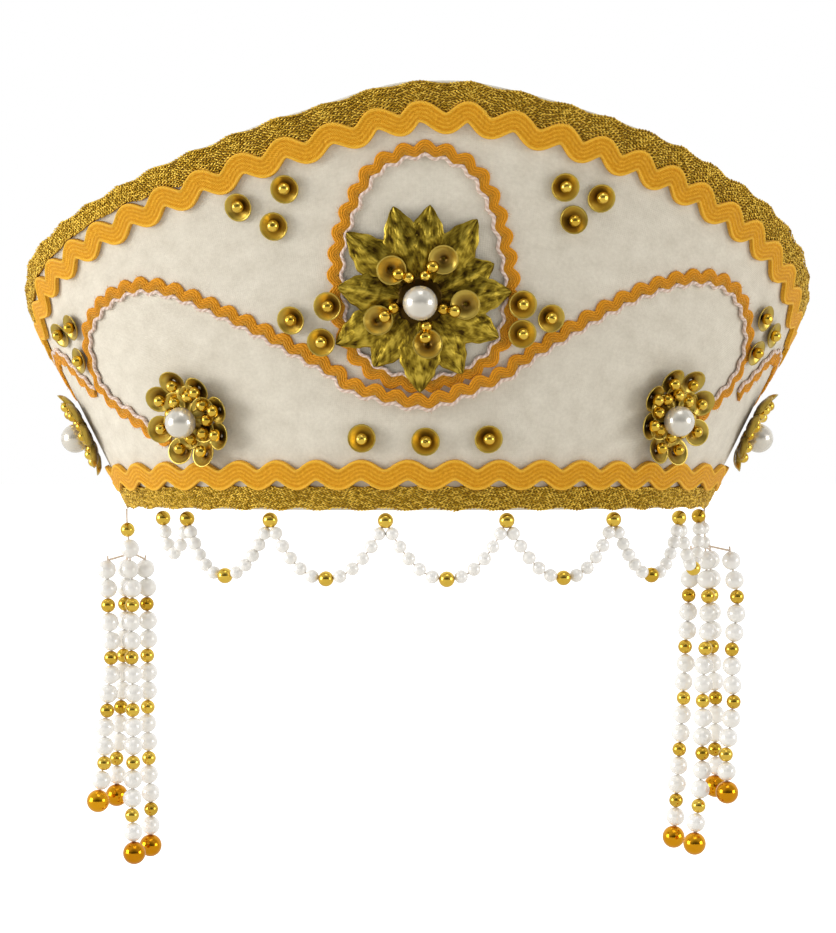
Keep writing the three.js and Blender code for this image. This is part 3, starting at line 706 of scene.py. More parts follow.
def smooth_line(spots, side=1, looped=False):
    """A centripetal Catmull-Rom curve through spots on the face, sampled finely."""
    knots = np.array([(s[0] * side * 2, s[1], s[2] if len(s) > 2 else 0) for s in spots])
    count = len(knots)
    made = []
    for i in range(count if looped else count - 1):
        if looped:
            p0, p1, p2, p3 = (knots[(i + k) % count] for k in (-1, 0, 1, 2))
        else:
            p1, p2 = knots[i], knots[i + 1]
            p0 = knots[i - 1] if i > 0 else 2 * p1 - p2
            p3 = knots[i + 2] if i + 2 < count else 2 * p2 - p1
        d1, d2, d3 = (max(np.linalg.norm(b - a) ** 0.5, 1e-6)
                      for a, b in ((p0, p1), (p1, p2), (p2, p3)))
        m1 = ((p1 - p0) / d1 - (p2 - p0) / (d1 + d2) + (p2 - p1) / d2) * d2
        m2 = ((p2 - p1) / d2 - (p3 - p1) / (d2 + d3) + (p3 - p2) / d3) * d2
        t = np.linspace(0, 1, 60, endpoint=False)[:, None]
        made.append(p1 * (2 * t ** 3 - 3 * t ** 2 + 1) + p2 * (3 * t ** 2 - 2 * t ** 3)
                    + m1 * (t ** 3 - 2 * t ** 2 + t) + m2 * (t ** 3 - t ** 2))
    line = np.vstack([*made, knots[:1] if looped else knots[-1:]])
    return line[:, 0] / 2, line[:, 1] * crown_height, seat + line[:, 2] * over_trim


def waved_line(spots, side=1, looped=False, sway=0.0009):
    """Evenly spaced spots of the waved middle of the trim, its lift, and its straight side."""
    wrap, height, lift = smooth_line(spots, side, looped)
    run = lengths(face(wrap, height))
    waves = round(run[-1] / narrow_wave) if looped else round(run[-1] / (narrow_wave / 2)) / 2
    count = int(run[-1] / 0.0005)
    at = np.linspace(0, run[-1], count, endpoint=not looped)
    w, h, l = (np.interp(at, run, row) for row in (wrap, height, lift))
    place = face(w, h)
    if looped:
        way = unit(np.roll(place, -1, 0) - np.roll(place, 1, 0))
    else:
        way = unit(np.gradient(place, axis=0))
    side_way = unit(np.cross(face_axes(w, h)[2], way))
    swing = -sway * np.cos(2 * math.pi * waves * at / run[-1])
    w, h = slide(w, h, side_way, swing)
    return w, h, l, side_way


narrow_half = 0.0017
strand_radius = 0.00036
strand_spacing = 0.00068
narrow_profile = []
narrow_tone_and_groove_shade = []
for aside in np.linspace(-narrow_half, narrow_half, 31):
    strand = round(aside / strand_spacing) * strand_spacing
    dome = 0.0003 * (1 - (aside / narrow_half) ** 2)
    bulge = math.sqrt(max(0, strand_radius ** 2 - (aside - strand) ** 2))
    narrow_profile.append((aside, 0.0004 + dome + bulge))
    # The tone runs from one edge to the other, and drops in the grooves between the strands as painted
    # shade.
    narrow_tone_and_groove_shade.append(0.1 + 0.4 * (aside / narrow_half + 1) - 0.7 * (1 - bulge / strand_radius))
narrow_profile += [(narrow_half, 0.0), (0.0, 0.0), (-narrow_half, 0.0)]
narrow_tone_and_groove_shade += [0.9, 0.5, 0.1]

# Cotton strands, orange with a fuzzy yellow edge, and painted shade that darkens the grooves between
# them.
strands_cotton, tree, surface = start_finish("orange_cotton_strands", Roughness=0.8,
                                             Sheen_Weight=0.15, Sheen_Roughness=0.4,
                                             Specular_IOR_Level=0.3)
in_mm = lengths_in_mm(tree)
fuzz = add_node(tree, "ShaderNodeTexNoise", {0: in_mm, "Scale": 1.3, "Detail": 5.0,
                                             "Roughness": 0.75})
twist = add_node(tree, "ShaderNodeTexWave", {0: in_mm, "Scale": wave_unit / 0.8,
                                             "Distortion": 2.0, "Detail": 1.0},
                 bands_direction="DIAGONAL")
tone_and_groove_shade = add_node(tree, "ShaderNodeAttribute", attribute_name="tone")
lit = add_node(tree, "ShaderNodeMath", {0: fuzz.outputs[0], 1: 0.8, 2: tone_and_groove_shade.outputs["Fac"]},
               operation="MULTIPLY_ADD")
tones = add_node(tree, "ShaderNodeValToRGB", {0: lit.outputs[0]},
                 [(0.25, "#E9B740"), (0.6, "#C27E0A"), (1.0, "#E89C14")])
relief = add_node(tree, "ShaderNodeMath", {0: twist.outputs["Fac"], 1: 0.7, 2: fuzz.outputs[0]},
                  operation="MULTIPLY_ADD")
dress(tree, surface, tones.outputs[0], relief.outputs[0], 0.9, 0.0003)

# Twisted cotton cord, white with a pinkish cast, about 1 mm thick.
cord_radius = 0.00055
cord_sway = 0.00055
cord_offset = 0.0021
trim_sunk = 0.0003
pale_cord, tree, surface = start_finish("pinkish_white_cotton_cord", Roughness=0.85,
                                        Sheen_Weight=0.3, Specular_IOR_Level=0.3)
ply = add_node(tree, "ShaderNodeTexWave", {0: lengths_in_mm(tree), "Scale": wave_unit / 0.9},
               bands_direction="DIAGONAL")
cord_tone = add_node(tree, "ShaderNodeMix", {0: ply.outputs["Fac"], 6: linear("#CFB2A0"),
                                             7: linear("#F0DCCF")}, data_type="RGBA")
dress(tree, surface, cord_tone.outputs[2], ply.outputs["Fac"], 0.7, 0.0002)

fibre_spots = []
narrow_trims = [
    ("oval_trim", oval_spots, 1, True, 1),
    ("scroll_trim", scroll_spots, 1, False, -1),
    ("side_trim_left", side_spots, -1, False, -1),
    ("side_trim_right", side_spots, 1, False, 1),
]
for trim, spots, side, looped, cord_side in narrow_trims:
    w, h, lift, side_way = waved_line(spots, side, looped)
    profile = [(-cord_side * aside, rise) for aside, rise in narrow_profile]
    band = lay_band(trim + "_cotton", w, h, lift - trim_sunk, profile, straight=side_way,
                    looped=looped, values={"tone": narrow_tone_and_groove_shade})
    finish_piece(band, strands_cotton, [trim])
    cord_w, cord_h, _, _ = waved_line(spots, side, looped, cord_sway)
    cord_w, cord_h = slide(cord_w, cord_h, side_way, cord_side * cord_offset)
    ring = [(cord_radius * math.cos(a), 0.00065 + cord_radius * math.sin(a))
            for a in np.linspace(0, 2 * math.pi, 8, endpoint=False)]
    cord = lay_band(trim + "_cord", cord_w[::2], cord_h[::2], lift[::2] - trim_sunk, ring,
                    looped=looped)
    finish_piece(cord, pale_cord)
    # Loose fibres stand out from both edges.
    for edge, share in ((-cord_side * narrow_half, 0.5), (cord_side * 0.0018, 1.0)):
        chosen = rng.random(len(w)) < share * 0.75
        fw, fh = slide(w[chosen], h[chosen], side_way[chosen], edge)
        out = face_axes(fw, fh)[2]
        roots = off_face(fw, fh, lift[chosen] + 0.0004)
        for root, sideways, up in zip(roots, side_way[chosen], out):
            way = unit(sideways * np.sign(edge) + rng.normal(0, 0.45, 3) + up * 0.15)
            across = unit(np.cross(way, up))
            fibre_spots.append((root, turn_to(across, np.cross(way, across), way),
                                (1, 1, rng.uniform(0.5, 1.3))))
fibre = turned_piece("fibre", [(0, -0.0001), (0.00006, 0), (0.00004, 0.0006), (0, 0.001)], 3)
copies("trim_fibres", fibre, fibre_spots, rick_cotton)


# Cup sequins, beads and pearls
# The sequins are thin dishes with a hole in the middle, held down by a small bead on a
# thread. The beads are metal-coated and mirror-bright, and the pearls are coated glass.
def stand(wrap, height, lift, lean=(0, 0), spin=0.0):
    """A place off the face and the turn of a piece that stands there. lean tips the piece
    across and up, as slopes."""
    around, _, out = face_axes(wrap, height)
    across = unit(around)
    up = np.cross(out, across)
    tipped = unit(out + across * lean[0] + up * lean[1])
    side = unit(across - tipped * np.dot(across, tipped))
    turn = turn_to(side, np.cross(tipped, side), tipped)
    return face(wrap, height) + out * lift, turn @ Quaternion((0, 0, 1), spin)


def near(wrap, height, x, y):
    """The spot on the face at a distance across and up from another."""
    around, _, out = face_axes(wrap, height)
    across = unit(around)
    w, h = slide(wrap, height, across, x)
    return slide(w, h, np.cross(out, across), y)


cup_profile = [
    (0.0005, 0.0), (0.0018, 0.0001), (0.0030, 0.0006), (0.0038, 0.0012), (0.00415, 0.00165),
    (0.00405, 0.00178), (0.0036, 0.0014), (0.0028, 0.0009), (0.0017, 0.0004), (0.0005, 0.0003),
]


def cup_body():
    """A dish with a hole, its rim turned up, closed all round."""
    sides = 20
    turns = [2 * math.pi * k / sides for k in range(sides)]
    points = [(r * math.cos(a), r * math.sin(a), z) for r, z in cup_profile for a in turns]
    rows = len(cup_profile)
    faces = []
    for i in range(rows):
        here, there = i * sides, (i + 1) % rows * sides
        for k in range(sides):
            beside = (k + 1) % sides
            faces.append((here + k, here + beside, there + beside, there + k))
    mesh = bpy.data.meshes.new("cup")
    mesh.from_pydata(points, [], faces)
    # The share of the way out to the rim, which the film's painted rim highlight and shaded dish
    # bottom follow.
    reach_out = [min(1, math.hypot(p[0], p[1]) / 0.0041) for p in points]
    mesh.attributes.new("rim", "FLOAT", "POINT").data.foreach_set("value", reach_out)
    outwards(mesh)
    return link_new("cup", mesh)


def bead_body(diameter, squash=1.0, hole=0.11, sides=16, rings=9):
    """A round bead with a small hole through it along Z."""
    r = diameter / 2
    start = math.asin(hole)
    profile = [(r * math.sin(a), -r * squash * math.cos(a))
               for a in np.linspace(start, math.pi - start, rings)]
    dimples = [(0, profile[0][1] * 0.93), (0, profile[-1][1] * 0.93)]
    return turned_piece("bead", [dimples[0], *profile, dimples[1]], sides)


# Cup sequins: lacquered plastic film with an olive-gold metal coat. Its colour is painted lighter at
# the rim as a highlight and brown in the bottom of the dish as shade.
sequin_film, tree, surface = start_finish("olive_gold_sequin_film", Metallic=0.85, Roughness=0.3,
                                          Coat_Weight=0.12, Coat_Roughness=0.1)
rim_highlight_well_shade = add_node(tree, "ShaderNodeAttribute", attribute_name="rim")
tint = add_node(tree, "ShaderNodeAttribute", attribute_name="chance")
film_map = add_node(tree, "ShaderNodeTexCoord")
film_noise = add_node(tree, "ShaderNodeTexNoise", {0: film_map.outputs["Object"],
                                                   "Scale": 260.0, "Detail": 3.0})
varied = add_node(tree, "ShaderNodeMath", {0: film_noise.outputs[0], 1: 0.35,
                                           2: rim_highlight_well_shade.outputs["Fac"]}, operation="MULTIPLY_ADD")
shifted = add_node(tree, "ShaderNodeMath", {0: tint.outputs["Fac"], 1: 0.16,
                                            2: varied.outputs[0]}, operation="MULTIPLY_ADD")
film = add_node(tree, "ShaderNodeValToRGB", {0: shifted.outputs[0]},
                [(0.45, "#64490F"), (0.8, "#97792A"), (1.0, "#BFA548")])
dress(tree, surface, film.outputs[0], film_noise.outputs[0], 0.25, 0.0003)

# Beads: vacuum-metallised plastic, a warm gold mirror with faint orange peel. Those at the
# tassels' ends are deeper, amber-coloured.
bead_metal = two_tones("metallised_gold_bead", "#BF9220", "#E6C250", 700.0, 2.0, (0.12, 0.0003),
                       grain_share=0.4, own_share=1.0, Metallic=1.0, Roughness=0.14)
amber_metal = two_tones("metallised_amber_bead", "#C47A0C", "#E6A51E", 500.0, 2.0, (0.1, 0.0003),
                        grain_share=0.4, own_share=1.0, Metallic=1.0, Roughness=0.13)

# Pearls: glass coated with pearl essence, white with a silky gloss and faint clouds. The large ones
# are painted greyer as shade, and the ones on the strings nearly white as painted light: lit and
# shaded copies of one pearl.
pearl_coat = {"own_share": 0.4, "Roughness": 0.25, "Coat_Weight": 0.6, "Coat_Roughness": 0.1}
shaded_large_pearl = two_tones("coated_glass_pearl", "#CBC5B8", "#E2DDD1", 180.0, 2.0, (0.02, 0.0003),
                        Metallic=0.5, **pearl_coat)
lit_string_pearl = two_tones("coated_glass_string_pearl", "#F0ECE3", "#FCFAF6", 180.0, 2.0,
                         (0.02, 0.0003), Metallic=0.12, **pearl_coat)


# Spangles
# A cup sequin under a small gold bead, sewn on in threes round the crown, close to the
# trims and to the tips of the flower's leaves.
flower_at = (0.0036, 0.4985 * crown_height)
leaf_length = 0.028
small_bead = 0.0036
# Share of the wrap, share of the crown's height, and share of the lift over a trim.
spangles = {
    "top_left_1": (-0.1375, 0.76, 0), "top_left_2": (-0.192, 0.722, 0),
    "top_left_3": (-0.156, 0.675, 0), "top_right_1": (0.1545, 0.765, 0),
    "top_right_2": (0.197, 0.743, 0), "top_right_3": (0.1705, 0.688, 0),
    "middle_left_1": (-0.1536, 0.456, 0), "middle_right_1": (0.1634, 0.461, 0),
    "low_1": (-0.0786, 0.175, 0), "low_2": (0.0125, 0.168, 0), "low_3": (0.1027, 0.175, 0),
    "side_left_1": (-0.532, 0.462, 0), "side_left_2": (-0.582, 0.448, 0),
    "side_left_3": (-0.552, 0.38, 0.125), "side_right_1": (0.527, 0.484, 0),
    "side_right_2": (0.58, 0.446, 0), "side_right_3": (0.545, 0.4, 0.125),
}
spots = {name: (w, share * crown_height, seat + over * over_trim)
         for name, (w, share, over) in spangles.items()}
for name, x, y in (("middle_left_2", -0.925, -0.048), ("middle_left_3", -0.999, -0.41),
                   ("middle_right_2", 1.037, -0.026), ("middle_right_3", 1.038, -0.327)):
    spots[name] = (*near(*flower_at, x * leaf_length, y * leaf_length), seat + 0.8125 * over_trim)
cup_spots, bead_spots = [], []
for wrap, height, lift in spots.values():
    lean = rng.normal(0, 0.07, 2)
    spin = rng.uniform(0, 6)
    cup_spots.append((*stand(wrap, height, lift - 0.0002, lean, spin), 1.0))
    place, turn = stand(wrap, height, lift + 0.0019, lean + rng.normal(0, 0.3, 2), spin)
    bead_spots.append((place, turn, 1.0))
copies("spangle_sequins", cup_body(), cup_spots, sequin_film,
       ["spangle_" + name for name in spots], seed=2)
copies("spangle_beads", bead_body(small_bead), bead_spots, bead_metal, seed=3)

# Rosettes
# Eight cup sequins sewn in a ring, each tipped towards the middle and held by a gold bead.
# Inside it a ring of flat sequins lies under more gold beads and one large pearl.
# Share of the wrap, share of the crown's height, share of the lift over a trim, and turn.
rosettes = {
    "front_left": (-0.3413, 0.232, 0.4375, 0.0), "front_right": (0.399, 0.237, 0.3125, 2.4),
    "side_left": (-0.75, 0.21, 0.3125, 1.1), "side_right": (0.75, 0.21, 0.3125, 3.5),
}
# Angle in degrees and distance of each sequin in the ring.
petals = [(110, 0.0121), (62, 0.0104), (12, 0.0113), (-30, 0.0121), (-70, 0.0123), (-113, 0.0116),
          (197, 0.0119), (148, 0.0121)]
rosette_pearl = 0.0092
tipping = 0.42
bead_ring, flat_ring = 0.0063, 0.0056
cup_spots, bead_spots, pearl_spots = [], [], []
for wrap, share, over, spin in rosettes.values():
    height = share * crown_height
    foot = seat + over * over_trim
    for angle, radius in petals:
        a = math.radians(angle) + spin
        tip = (-tipping * math.cos(a), -tipping * math.sin(a))
        w, h = near(wrap, height, (radius - 0.0004) * math.cos(a), (radius - 0.0004) * math.sin(a))
        cup_spots.append((*stand(w, h, foot + 0.0012, tip, rng.uniform(0, 6)), 1.0))
        w, h = near(wrap, height, (radius - 0.0018) * math.cos(a), (radius - 0.0018) * math.sin(a))
        bead_spots.append((*stand(w, h, foot + 0.0033, rng.normal(0, 0.4, 2)), 1.0))
        inner = math.radians(angle + 22) + spin
        w, h = near(wrap, height, bead_ring * math.cos(inner), bead_ring * math.sin(inner))
        bead_spots.append((*stand(w, h, foot + 0.0020, rng.normal(0, 0.5, 2)), 1.06))
    # The flat sequins fill the middle under the inner beads.
    for k in range(6):
        a = math.radians(60 * k + 20) + spin
        w, h = near(wrap, height, flat_ring * math.cos(a), flat_ring * math.sin(a))
        cup_spots.append((*stand(w, h, foot + 0.0004, (0, 0), k), 1.0))
    # The large pearl hangs a little low on its thread, towards the left.
    w, h = near(wrap, height, -0.0008, -0.0009)
    pearl_spots.append((*stand(w, h, foot + seat + rosette_pearl / 2, (0.3, 0.9)), 1.0))
copies("rosette_sequins", cup_body(), cup_spots, sequin_film,
       ["rosette_" + name for name in rosettes], seed=4)
copies("rosette_beads", bead_body(small_bead), bead_spots, bead_metal, seed=5)
copies("rosette_pearls", bead_body(rosette_pearl, sides=32, rings=17), pearl_spots, shaded_large_pearl,
       ["rosette_pearl_" + name for name in rosettes], seed=6)

# Flower
# Twelve leaves stamped from thin brass sheet, folded along the middle and fixed in two
# layers to a round base. Five cup sequins with gold beads lie on them round a large pearl.
# Angle in degrees, length as a share of leaf_length, layer, and how far the tip bends up.
leaves = [
    (106, 0.99, 0, 0), (84, 0.97, 0, 0), (55, 1.01, 0, 0), (27, 0.84, 0, 0), (6, 0.93, 1, 0),
    (-25, 0.88, 0, 0.6), (-60, 0.86, 0, 0), (-90, 0.93, 1, 2), (-125, 0.82, 0, 0),
    (-153, 0.96, 0, 0.6), (170, 0.84, 1, 0), (137, 1.02, 0, 0),
]
leaf_sheet = 0.00028


def leaf_blade(angle, length, layer, tip):
    """Rings of one leaf, from its foot to its tip: upper side and then under side."""
    a = math.radians(angle)
    rings, ribs_and_foot_shade = [], []
    for t in np.linspace(0.0, 1.0, 30):
        along = 0.16 + 0.84 * t
        half_width = 0.0054 * math.sin(math.pi * t ** 0.92) ** 0.8 + 0.0007 * (1 - t) + 0.00012
        half_width *= 1 + 0.05 * math.sin(34 * t)
        upper, lower, marks_and_foot_shade = [], [], []
        for s in np.linspace(-1, 1, 17):
            # Side veins run forwards from the middle rib, and the edge is rolled down.
            crumple = noise.noise(Vector((angle + t * 7, s * 2.4, layer)))
            vein = 0.5 + 0.5 * math.cos(2 * math.pi * (t * 7.5 - abs(s) * 1.8 + 0.55 * crumple))
            rib = math.exp(-(s / 0.13) ** 2)
            edge = 1 - abs(s) ** 3
            dome = (1 - abs(s) ** 1.3) * math.sin(math.pi * min(1, t + 0.18)) ** 0.7
            rise = (0.00255 + 0.0011 * dome
                    + 0.00034 * vein * edge * (1 - rib) * min(1, 6 * (1 - t)) + 0.00035 * rib * edge
                    + 0.0005 * (layer + tip * along ** 2) - 0.0006 * t ** 3
                    + 0.0003 * crumple * t
                    + 0.0002 * noise.noise(Vector((angle + t * 22, s * 7, layer))))
            r = along * length * leaf_length
            side = s * half_width
            x = r * math.cos(a) - side * math.sin(a)
            y = r * math.sin(a) + side * math.cos(a)
            w, h = near(*flower_at, x, y)
            upper.append(off_face(w, h, rise))
            lower.append(off_face(w, h, rise - leaf_sheet))
            raised = 0.4 * vein * edge + 0.35 * rib + 0.35 * abs(s) ** 4 + 0.3 + 0.5 * crumple
            # The marks grow darker towards the leaf's foot: painted shade under the pearl, sequins and
            # beads.
            marks_and_foot_shade.append(raised * min(1, 0.3 + 1.4 * t))
        rings.append(upper + lower[::-1])
        ribs_and_foot_shade.append(marks_and_foot_shade + marks_and_foot_shade[::-1])
    return rings, ribs_and_foot_shade


# Stamped brass foil, lacquered, yellow-green gold where it is raised and brown in its
# creases, and painted darker towards each leaf's foot as shade under the pearl, sequins and beads.
leaf_metal, tree, surface = start_finish("stamped_brass_foil", Metallic=0.95, Roughness=0.33)
rib_and_foot_shade = add_node(tree, "ShaderNodeAttribute", attribute_name="rib")
leaf_map = add_node(tree, "ShaderNodeTexCoord")
crease = add_node(tree, "ShaderNodeTexNoise", {0: leaf_map.outputs["Object"], "Scale": 420.0,
                                               "Detail": 4.0})
leaf_lengths = add_node(tree, "ShaderNodeUVMap", uv_map="lengths")
stretched = add_node(tree, "ShaderNodeMapping", {0: leaf_lengths.outputs[0], "Scale": (260, 1500, 1)})
grooves = add_node(tree, "ShaderNodeTexNoise", {0: stretched.outputs[0], "Scale": 1.0, "Detail": 3.0,
                                                "Roughness": 0.6, "Distortion": 0.6})
scored = add_node(tree, "ShaderNodeMath", {0: grooves.outputs[0], 1: 1.1, 2: crease.outputs[0]},
                  operation="MULTIPLY_ADD")
worn_and_foot_shade = add_node(tree, "ShaderNodeMath", {0: scored.outputs[0], 1: 0.75, 2: rib_and_foot_shade.outputs["Fac"]},
                operation="MULTIPLY_ADD")
spread_out = add_node(tree, "ShaderNodeMapRange", {"Value": worn_and_foot_shade.outputs[0], 1: 0.9, 2: 1.75})
patina = add_node(tree, "ShaderNodeValToRGB", {0: spread_out.outputs[0]},
                  [(0.0, "#3B2A08"), (0.45, "#86701E"), (1.0, "#CDB244")])
dress(tree, surface, patina.outputs[0], scored.outputs[0], 0.5, 0.0004)


def joined(name, pieces):
    """Several closed bodies as one piece."""
    for piece in bpy.context.selected_objects:
        piece.select_set(False)
    for piece in pieces:
        piece.select_set(True)
    bpy.context.view_layer.objects.active = pieces[0]
    bpy.ops.object.join()
    pieces[0].name = name
    pieces[0].data.name = name
    return pieces[0]


blades = []
for number, row in enumerate(leaves):
    rings, ribs_and_foot_shade = leaf_blade(*row)
    blades.append(skin(f"leaf_{number}", rings, np.linspace(0, row[1] * leaf_length, len(rings)),
                       np.linspace(0, 0.022, len(rings[0]) + 1), values={"rib": ribs_and_foot_shade}))
base = turned_piece("flower_base", [(0, 0.0), (0.0075, 0.0), (0.0073, 0.0012), (0.006, 0.0022),
                                    (0, 0.0024)], 32)
place, turn = stand(*flower_at, seat + over_trim)
base.data.transform(Matrix.Translation(Vector(place)) @ turn.to_matrix().to_4x4())
base.data.attributes.new("rib", "FLOAT", "POINT")
flower = joined("flower_leaf_blades", blades + [base])
finish_piece(flower, leaf_metal, ["flower_leaves"])

# Angle in degrees, distance as a share of leaf_length, and lift in layers.
flower_cups = [(131, 0.436, 0.3), (62, 0.493, 0), (-3, 0.45, 0.7), (-80, 0.436, 0.8),
               (204, 0.457, 0.5)]
flower_beads = [
    (-0.0059, 0.0079), (0.0034, 0.0099), (0.0093, -0.0025), (0.0014, -0.0099), (-0.0096, -0.004),
    (-0.0031, 0.0068), (0.0014, 0.0073), (0.0062, -0.002), (0.0017, -0.0068), (-0.0071, -0.0017),
]
ridge_lift = seat + 1.125 * over_trim + 0.05 * leaf_length
cup_spots, bead_spots = [], []
for angle, share, layer in flower_cups:
    a = math.radians(angle)
    w, h = near(*flower_at, share * leaf_length * math.cos(a), share * leaf_length * math.sin(a))
    tip = (-0.18 * math.cos(a), -0.18 * math.sin(a))
    lift = ridge_lift + 0.0007 + layer * 0.0005
    cup_spots.append((*stand(w, h, lift, tip, rng.uniform(0, 6)), 1.03))
for x, y in flower_beads:
    w, h = near(*flower_at, x, y)
    inner = math.hypot(x, y) < 0.0075
    lift = ridge_lift + (0.0020 if inner else 0.0029)
    bead_spots.append((*stand(w, h, lift, rng.normal(0, 0.4, 2)), 0.95 if inner else 1.05))
copies("flower_sequins", cup_body(), cup_spots, sequin_film,
       [f"spoke_{k}" for k in range(1, 6)], seed=7)
copies("flower_beads", bead_body(small_bead), bead_spots, bead_metal, seed=8)
flower_pearl = 0.0098
pearl_lift = seat + over_trim + 0.0022 + 0.0003 + flower_pearl / 2
copies("flower_middle_pearl", bead_body(flower_pearl, sides=32, rings=17),
       [(*stand(*flower_at, pearl_lift, (0.5, 0.8)), 1.0)], shaded_large_pearl,
       ["flower_pearl"], seed=9)


# Festoon
# Strings of small pearls hang in swags from gold beads on the hem, with another gold bead
# at the bottom of each wide swag. They are threaded on fine cotton.
hem_beads = [-0.532, -0.45, -0.256, -0.052, 0.151, 0.3625, 0.568, 0.75]
gap = 0.0003
swag_pearl = 0.004
swag_gold = 0.0046
swag_drop = 0.017
swag_spacing = 0.0042
hem_bead_low = -gap - swag_gold / 2 - 0.0001


def under_hem(wrap, height):
    """Places at a height under the middle of the wall."""
    place = off_face(wrap, 0.0, -wall / 2)
    level = np.asarray(height, float) + 0 * place[..., 0]
    return np.stack([place[..., 0], place[..., 1], level], -1)


def swag_line(start, end):
    """Places along a swag from one hem bead to the next."""
    drop = swag_drop * min(1, 0.35 + 0.65 * (end - start) / 0.2)
    t = np.linspace(0, 1, 400)
    return under_hem(start + (end - start) * t, hem_bead_low - drop * (1 - np.abs(2 * t - 1) ** 2.2))


def string_turn(way):
    """The turn of a bead threaded along a direction."""
    return Vector(tuple(way)).to_track_quat("Z", "Y")


pearl_spots, gold_spots, thread_lines = [], [], []
for wrap in hem_beads:
    place = under_hem(wrap, hem_bead_low)
    gold_spots.append((place, Quaternion((1, 0, 0), 0.25 * math.sin(wrap * 40)), 1.0))
for start, end in zip(hem_beads, hem_beads[1:]):
    line = swag_line(start, end)
    run = lengths(line)
    thread_lines.append((line[::8], 0.00022))
    first = swag_gold / 2 + swag_pearl / 2
    whole = run[-1]
    if end - start < 0.1:
        # The short swag has no gold bead at its bottom.
        count = max(2, round((whole - 2 * first) / swag_pearl) + 1)
        stations = [(d, "pearl") for d in np.linspace(first, whole - first, count)]
    else:
        to_middle = whole / 2 - first
        steps = np.linspace(first, to_middle, max(2, round(to_middle / swag_spacing)))
        stations = [(d, "pearl") for d in [*steps, *(whole - steps)]] + [(whole / 2, "gold")]
    for distance, kind in stations:
        place = np.array([np.interp(distance, run, line[:, k]) for k in range(3)])
        ahead = np.array([np.interp(distance + 0.0005, run, line[:, k]) for k in range(3)])
        turn = string_turn(ahead - place)
        (pearl_spots if kind == "pearl" else gold_spots).append((place, turn, rng.uniform(0.97, 1.03)))
copies("festoon_pearls", bead_body(swag_pearl), pearl_spots, lit_string_pearl, seed=10)
copies("festoon_gold_beads", bead_body(swag_gold, sides=24, rings=13), gold_spots, bead_metal,
       ["festoon"], seed=11)

# Tassels
# Four strings on each side, one long and three that leave it lower down: one gold bead for
# every two or three pearls, and a large amber-coloured bead at the end of each.
tassel_pearl = 0.006
tassel_end = 0.0072
thread_length = 0.0044
# Each string sways a little: sideways distances in mm at even steps from its top to its end.
sways = {
    "left_long": (-1.7, 0, -0.5, 0, 0, -0.4, 0.4), "left_outer": (-1.5, -0.5, 1.2, 0.3, 0.2, -1.2),
    "left_rear": (0, 0.3, 0.5, 0, -0.3, 0), "left_inner": (0, 0.4, 0, -0.3, 0.2, 0),
    "right_long": (0.8, 2.1, 2.5, 1.3, 1.6, 0.9, -0.6), "right_outer": (3, 5, 1.9, 1.7, -1.2, -1.8),
    "right_rear": (1.5, 1.2, 1.0, 1.3, 0.6, -0.3), "right_inner": (1.5, 1.5, 1.2, 1.0, 0.6, 0.1),
}
slack = 0.0016
# Name, share of the wrap, direction from the long string in degrees, how many of its beads
# come before this string, the beads from the top, and the lean in pearls.
tassels = [
    ("left_long", -0.7507, None, 0, "gpppgppgppgppgppgp", (0.1, -0.17)),
    ("left_outer", -0.7507, 190, 2, "ppgppgppgppgp", (-0.6, -0.17)),
    ("left_rear", -0.7507, 115, 2, "ppgppgppgppgp", (-0.63, 0.81)),
    ("left_inner", -0.7507, 56, 2, "ppgppgppgppgppgp", (0.11, 1.36)),
    ("right_long", 0.781, None, 0, "ssppgppgppgppgppgp", (-0.4, -0.5)),
    ("right_outer", 0.781, -22, 2, "ppgppgppgppgp", (0.6, -0.47)),
    ("right_rear", 0.781, 69.5, 2, "ppgppgppgppgp", (0.62, 0.49)),
    ("right_inner", 0.781, 131, 2, "ppgppgppgppgppgp", (-0.62, 0.95)),
]
bead_sizes = {"g": swag_gold, "p": tassel_pearl, "s": swag_pearl}
pearl_spots, small_spots, gold_spots, end_spots = [], [], [], []
long_string = None
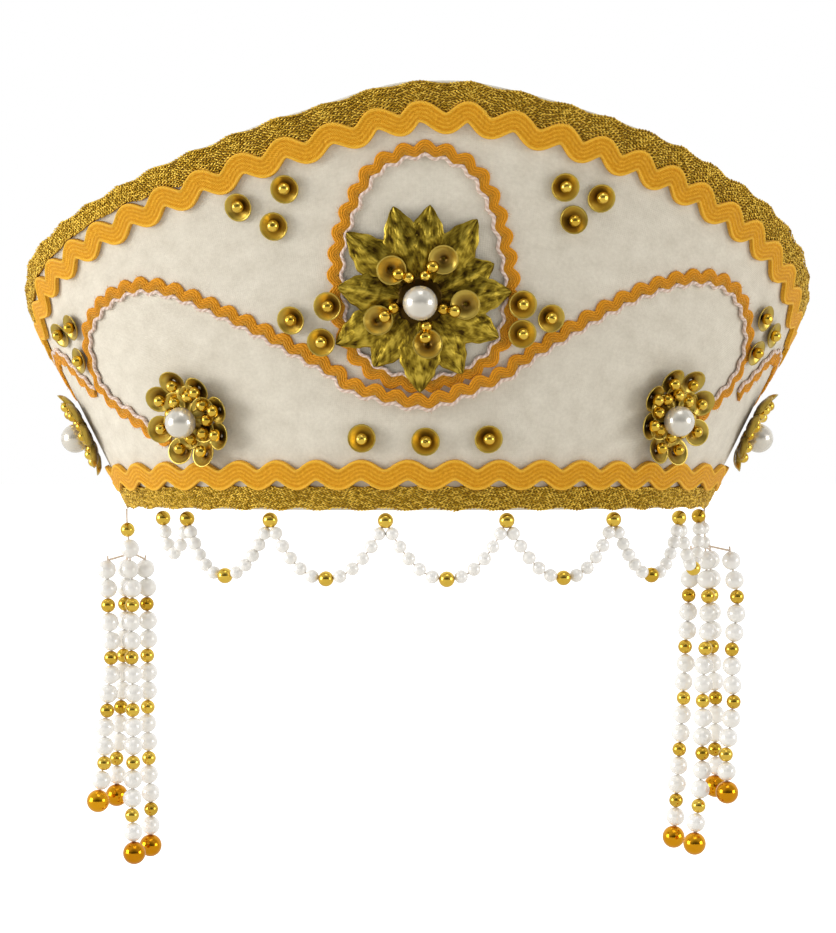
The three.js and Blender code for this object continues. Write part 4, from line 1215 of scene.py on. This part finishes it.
for name, hang, aside, skip, beads, lean in tassels:
    sizes = [bead_sizes[letter] for letter in beads]
    top_height = -thread_length - (sum(long_string[0][:skip]) if skip else 0)
    foot = top_height - sum(sizes) - tassel_end
    top = off_face(hang, 0.0, -gap)
    if skip:
        share = (top_height - tassel_pearl / 2 + thread_length) / (long_string[1] + thread_length)
        spacing = tassel_pearl + gap
        top[0] += long_string[2][0] * tassel_pearl * share + spacing * math.cos(math.radians(aside))
        top[1] += long_string[2][1] * tassel_pearl * share + spacing * math.sin(math.radians(aside))
    else:
        long_string = (sizes, foot, lean)

    def on_string(z):
        fall = (top_height - z) / (top_height - foot)
        sway = np.interp(fall, np.linspace(0, 1, len(sways[name])), sways[name]) / 1000
        let_out = slack * np.clip((-thread_length - z) / 0.012, 0, 1)
        return np.array([top[0] + lean[0] * tassel_pearl * fall + sway,
                         top[1] + lean[1] * tassel_pearl * fall, z - let_out])

    z = top_height
    for letter, size in zip(beads, sizes):
        play = rng.normal(0, 0.00018, 3) * (1, 1, 0)
        tip = Quaternion((1, 0, 0), rng.normal(0, 0.12)) @ Quaternion((0, 1, 0), rng.normal(0, 0.12))
        spot = (on_string(z - size / 2) + play, tip, 1.0)
        {"g": gold_spots, "p": pearl_spots, "s": small_spots}[letter].append(spot)
        z -= size
    end_spots.append((on_string(z - tassel_end / 2), Quaternion((1, 0, 0), rng.normal(0, 0.1)), 1.0))
    start = -gap if not skip else top_height + 0.001
    thread_lines.append((np.array([on_string(q) for q in np.linspace(start, z - 0.001, 40)]), 0.0003))
    if skip:
        # A side string's thread is knotted to the long one just above its first pearl.
        away = math.radians(aside)
        knot = (top[0] - spacing * math.cos(away), top[1] - spacing * math.sin(away),
                top_height + 0.0022 - slack)
        thread_lines.append((np.linspace(knot, on_string(top_height - 0.0002), 8), 0.00035))
copies("tassel_pearls", bead_body(tassel_pearl, sides=20, rings=11), pearl_spots, lit_string_pearl,
       ["tassel_" + row[0] for row in tassels], seed=12)
copies("tassel_small_pearls", bead_body(swag_pearl), small_spots, lit_string_pearl, seed=13)
copies("tassel_gold_beads", bead_body(swag_gold, sides=20, rings=11), gold_spots, bead_metal,
       seed=14)
copies("tassel_end_beads", bead_body(tassel_end, sides=28, rings=15), end_spots, amber_metal,
       seed=15)

# Threads
# Beige cotton thread carries the swags and the tassels. It shows between the beads, and
# where the strings of a tassel part.
thread_cotton = two_tones("beige_cotton_thread", "#CDB59C", "#F0E2D2", 1500.0, 2.0,
                          (0.5, 0.0002), Roughness=0.85, Sheen_Weight=0.3)
threads = []
for number, (line, radius) in enumerate(thread_lines):
    way = unit(np.gradient(line, axis=0))
    side = unit(np.cross(way, np.array([0.3, 0.9, 0.2])))
    other = np.cross(way, side)
    rings = [line + radius * (side * math.cos(a) + other * math.sin(a))
             for a in np.linspace(0, 2 * math.pi, 6, endpoint=False)]
    threads.append(skin(f"thread_{number}", np.stack(rings, 1), lengths(line),
                        np.linspace(0, 0.002, 7)))
finish_piece(joined("bead_threads", threads), thread_cotton)
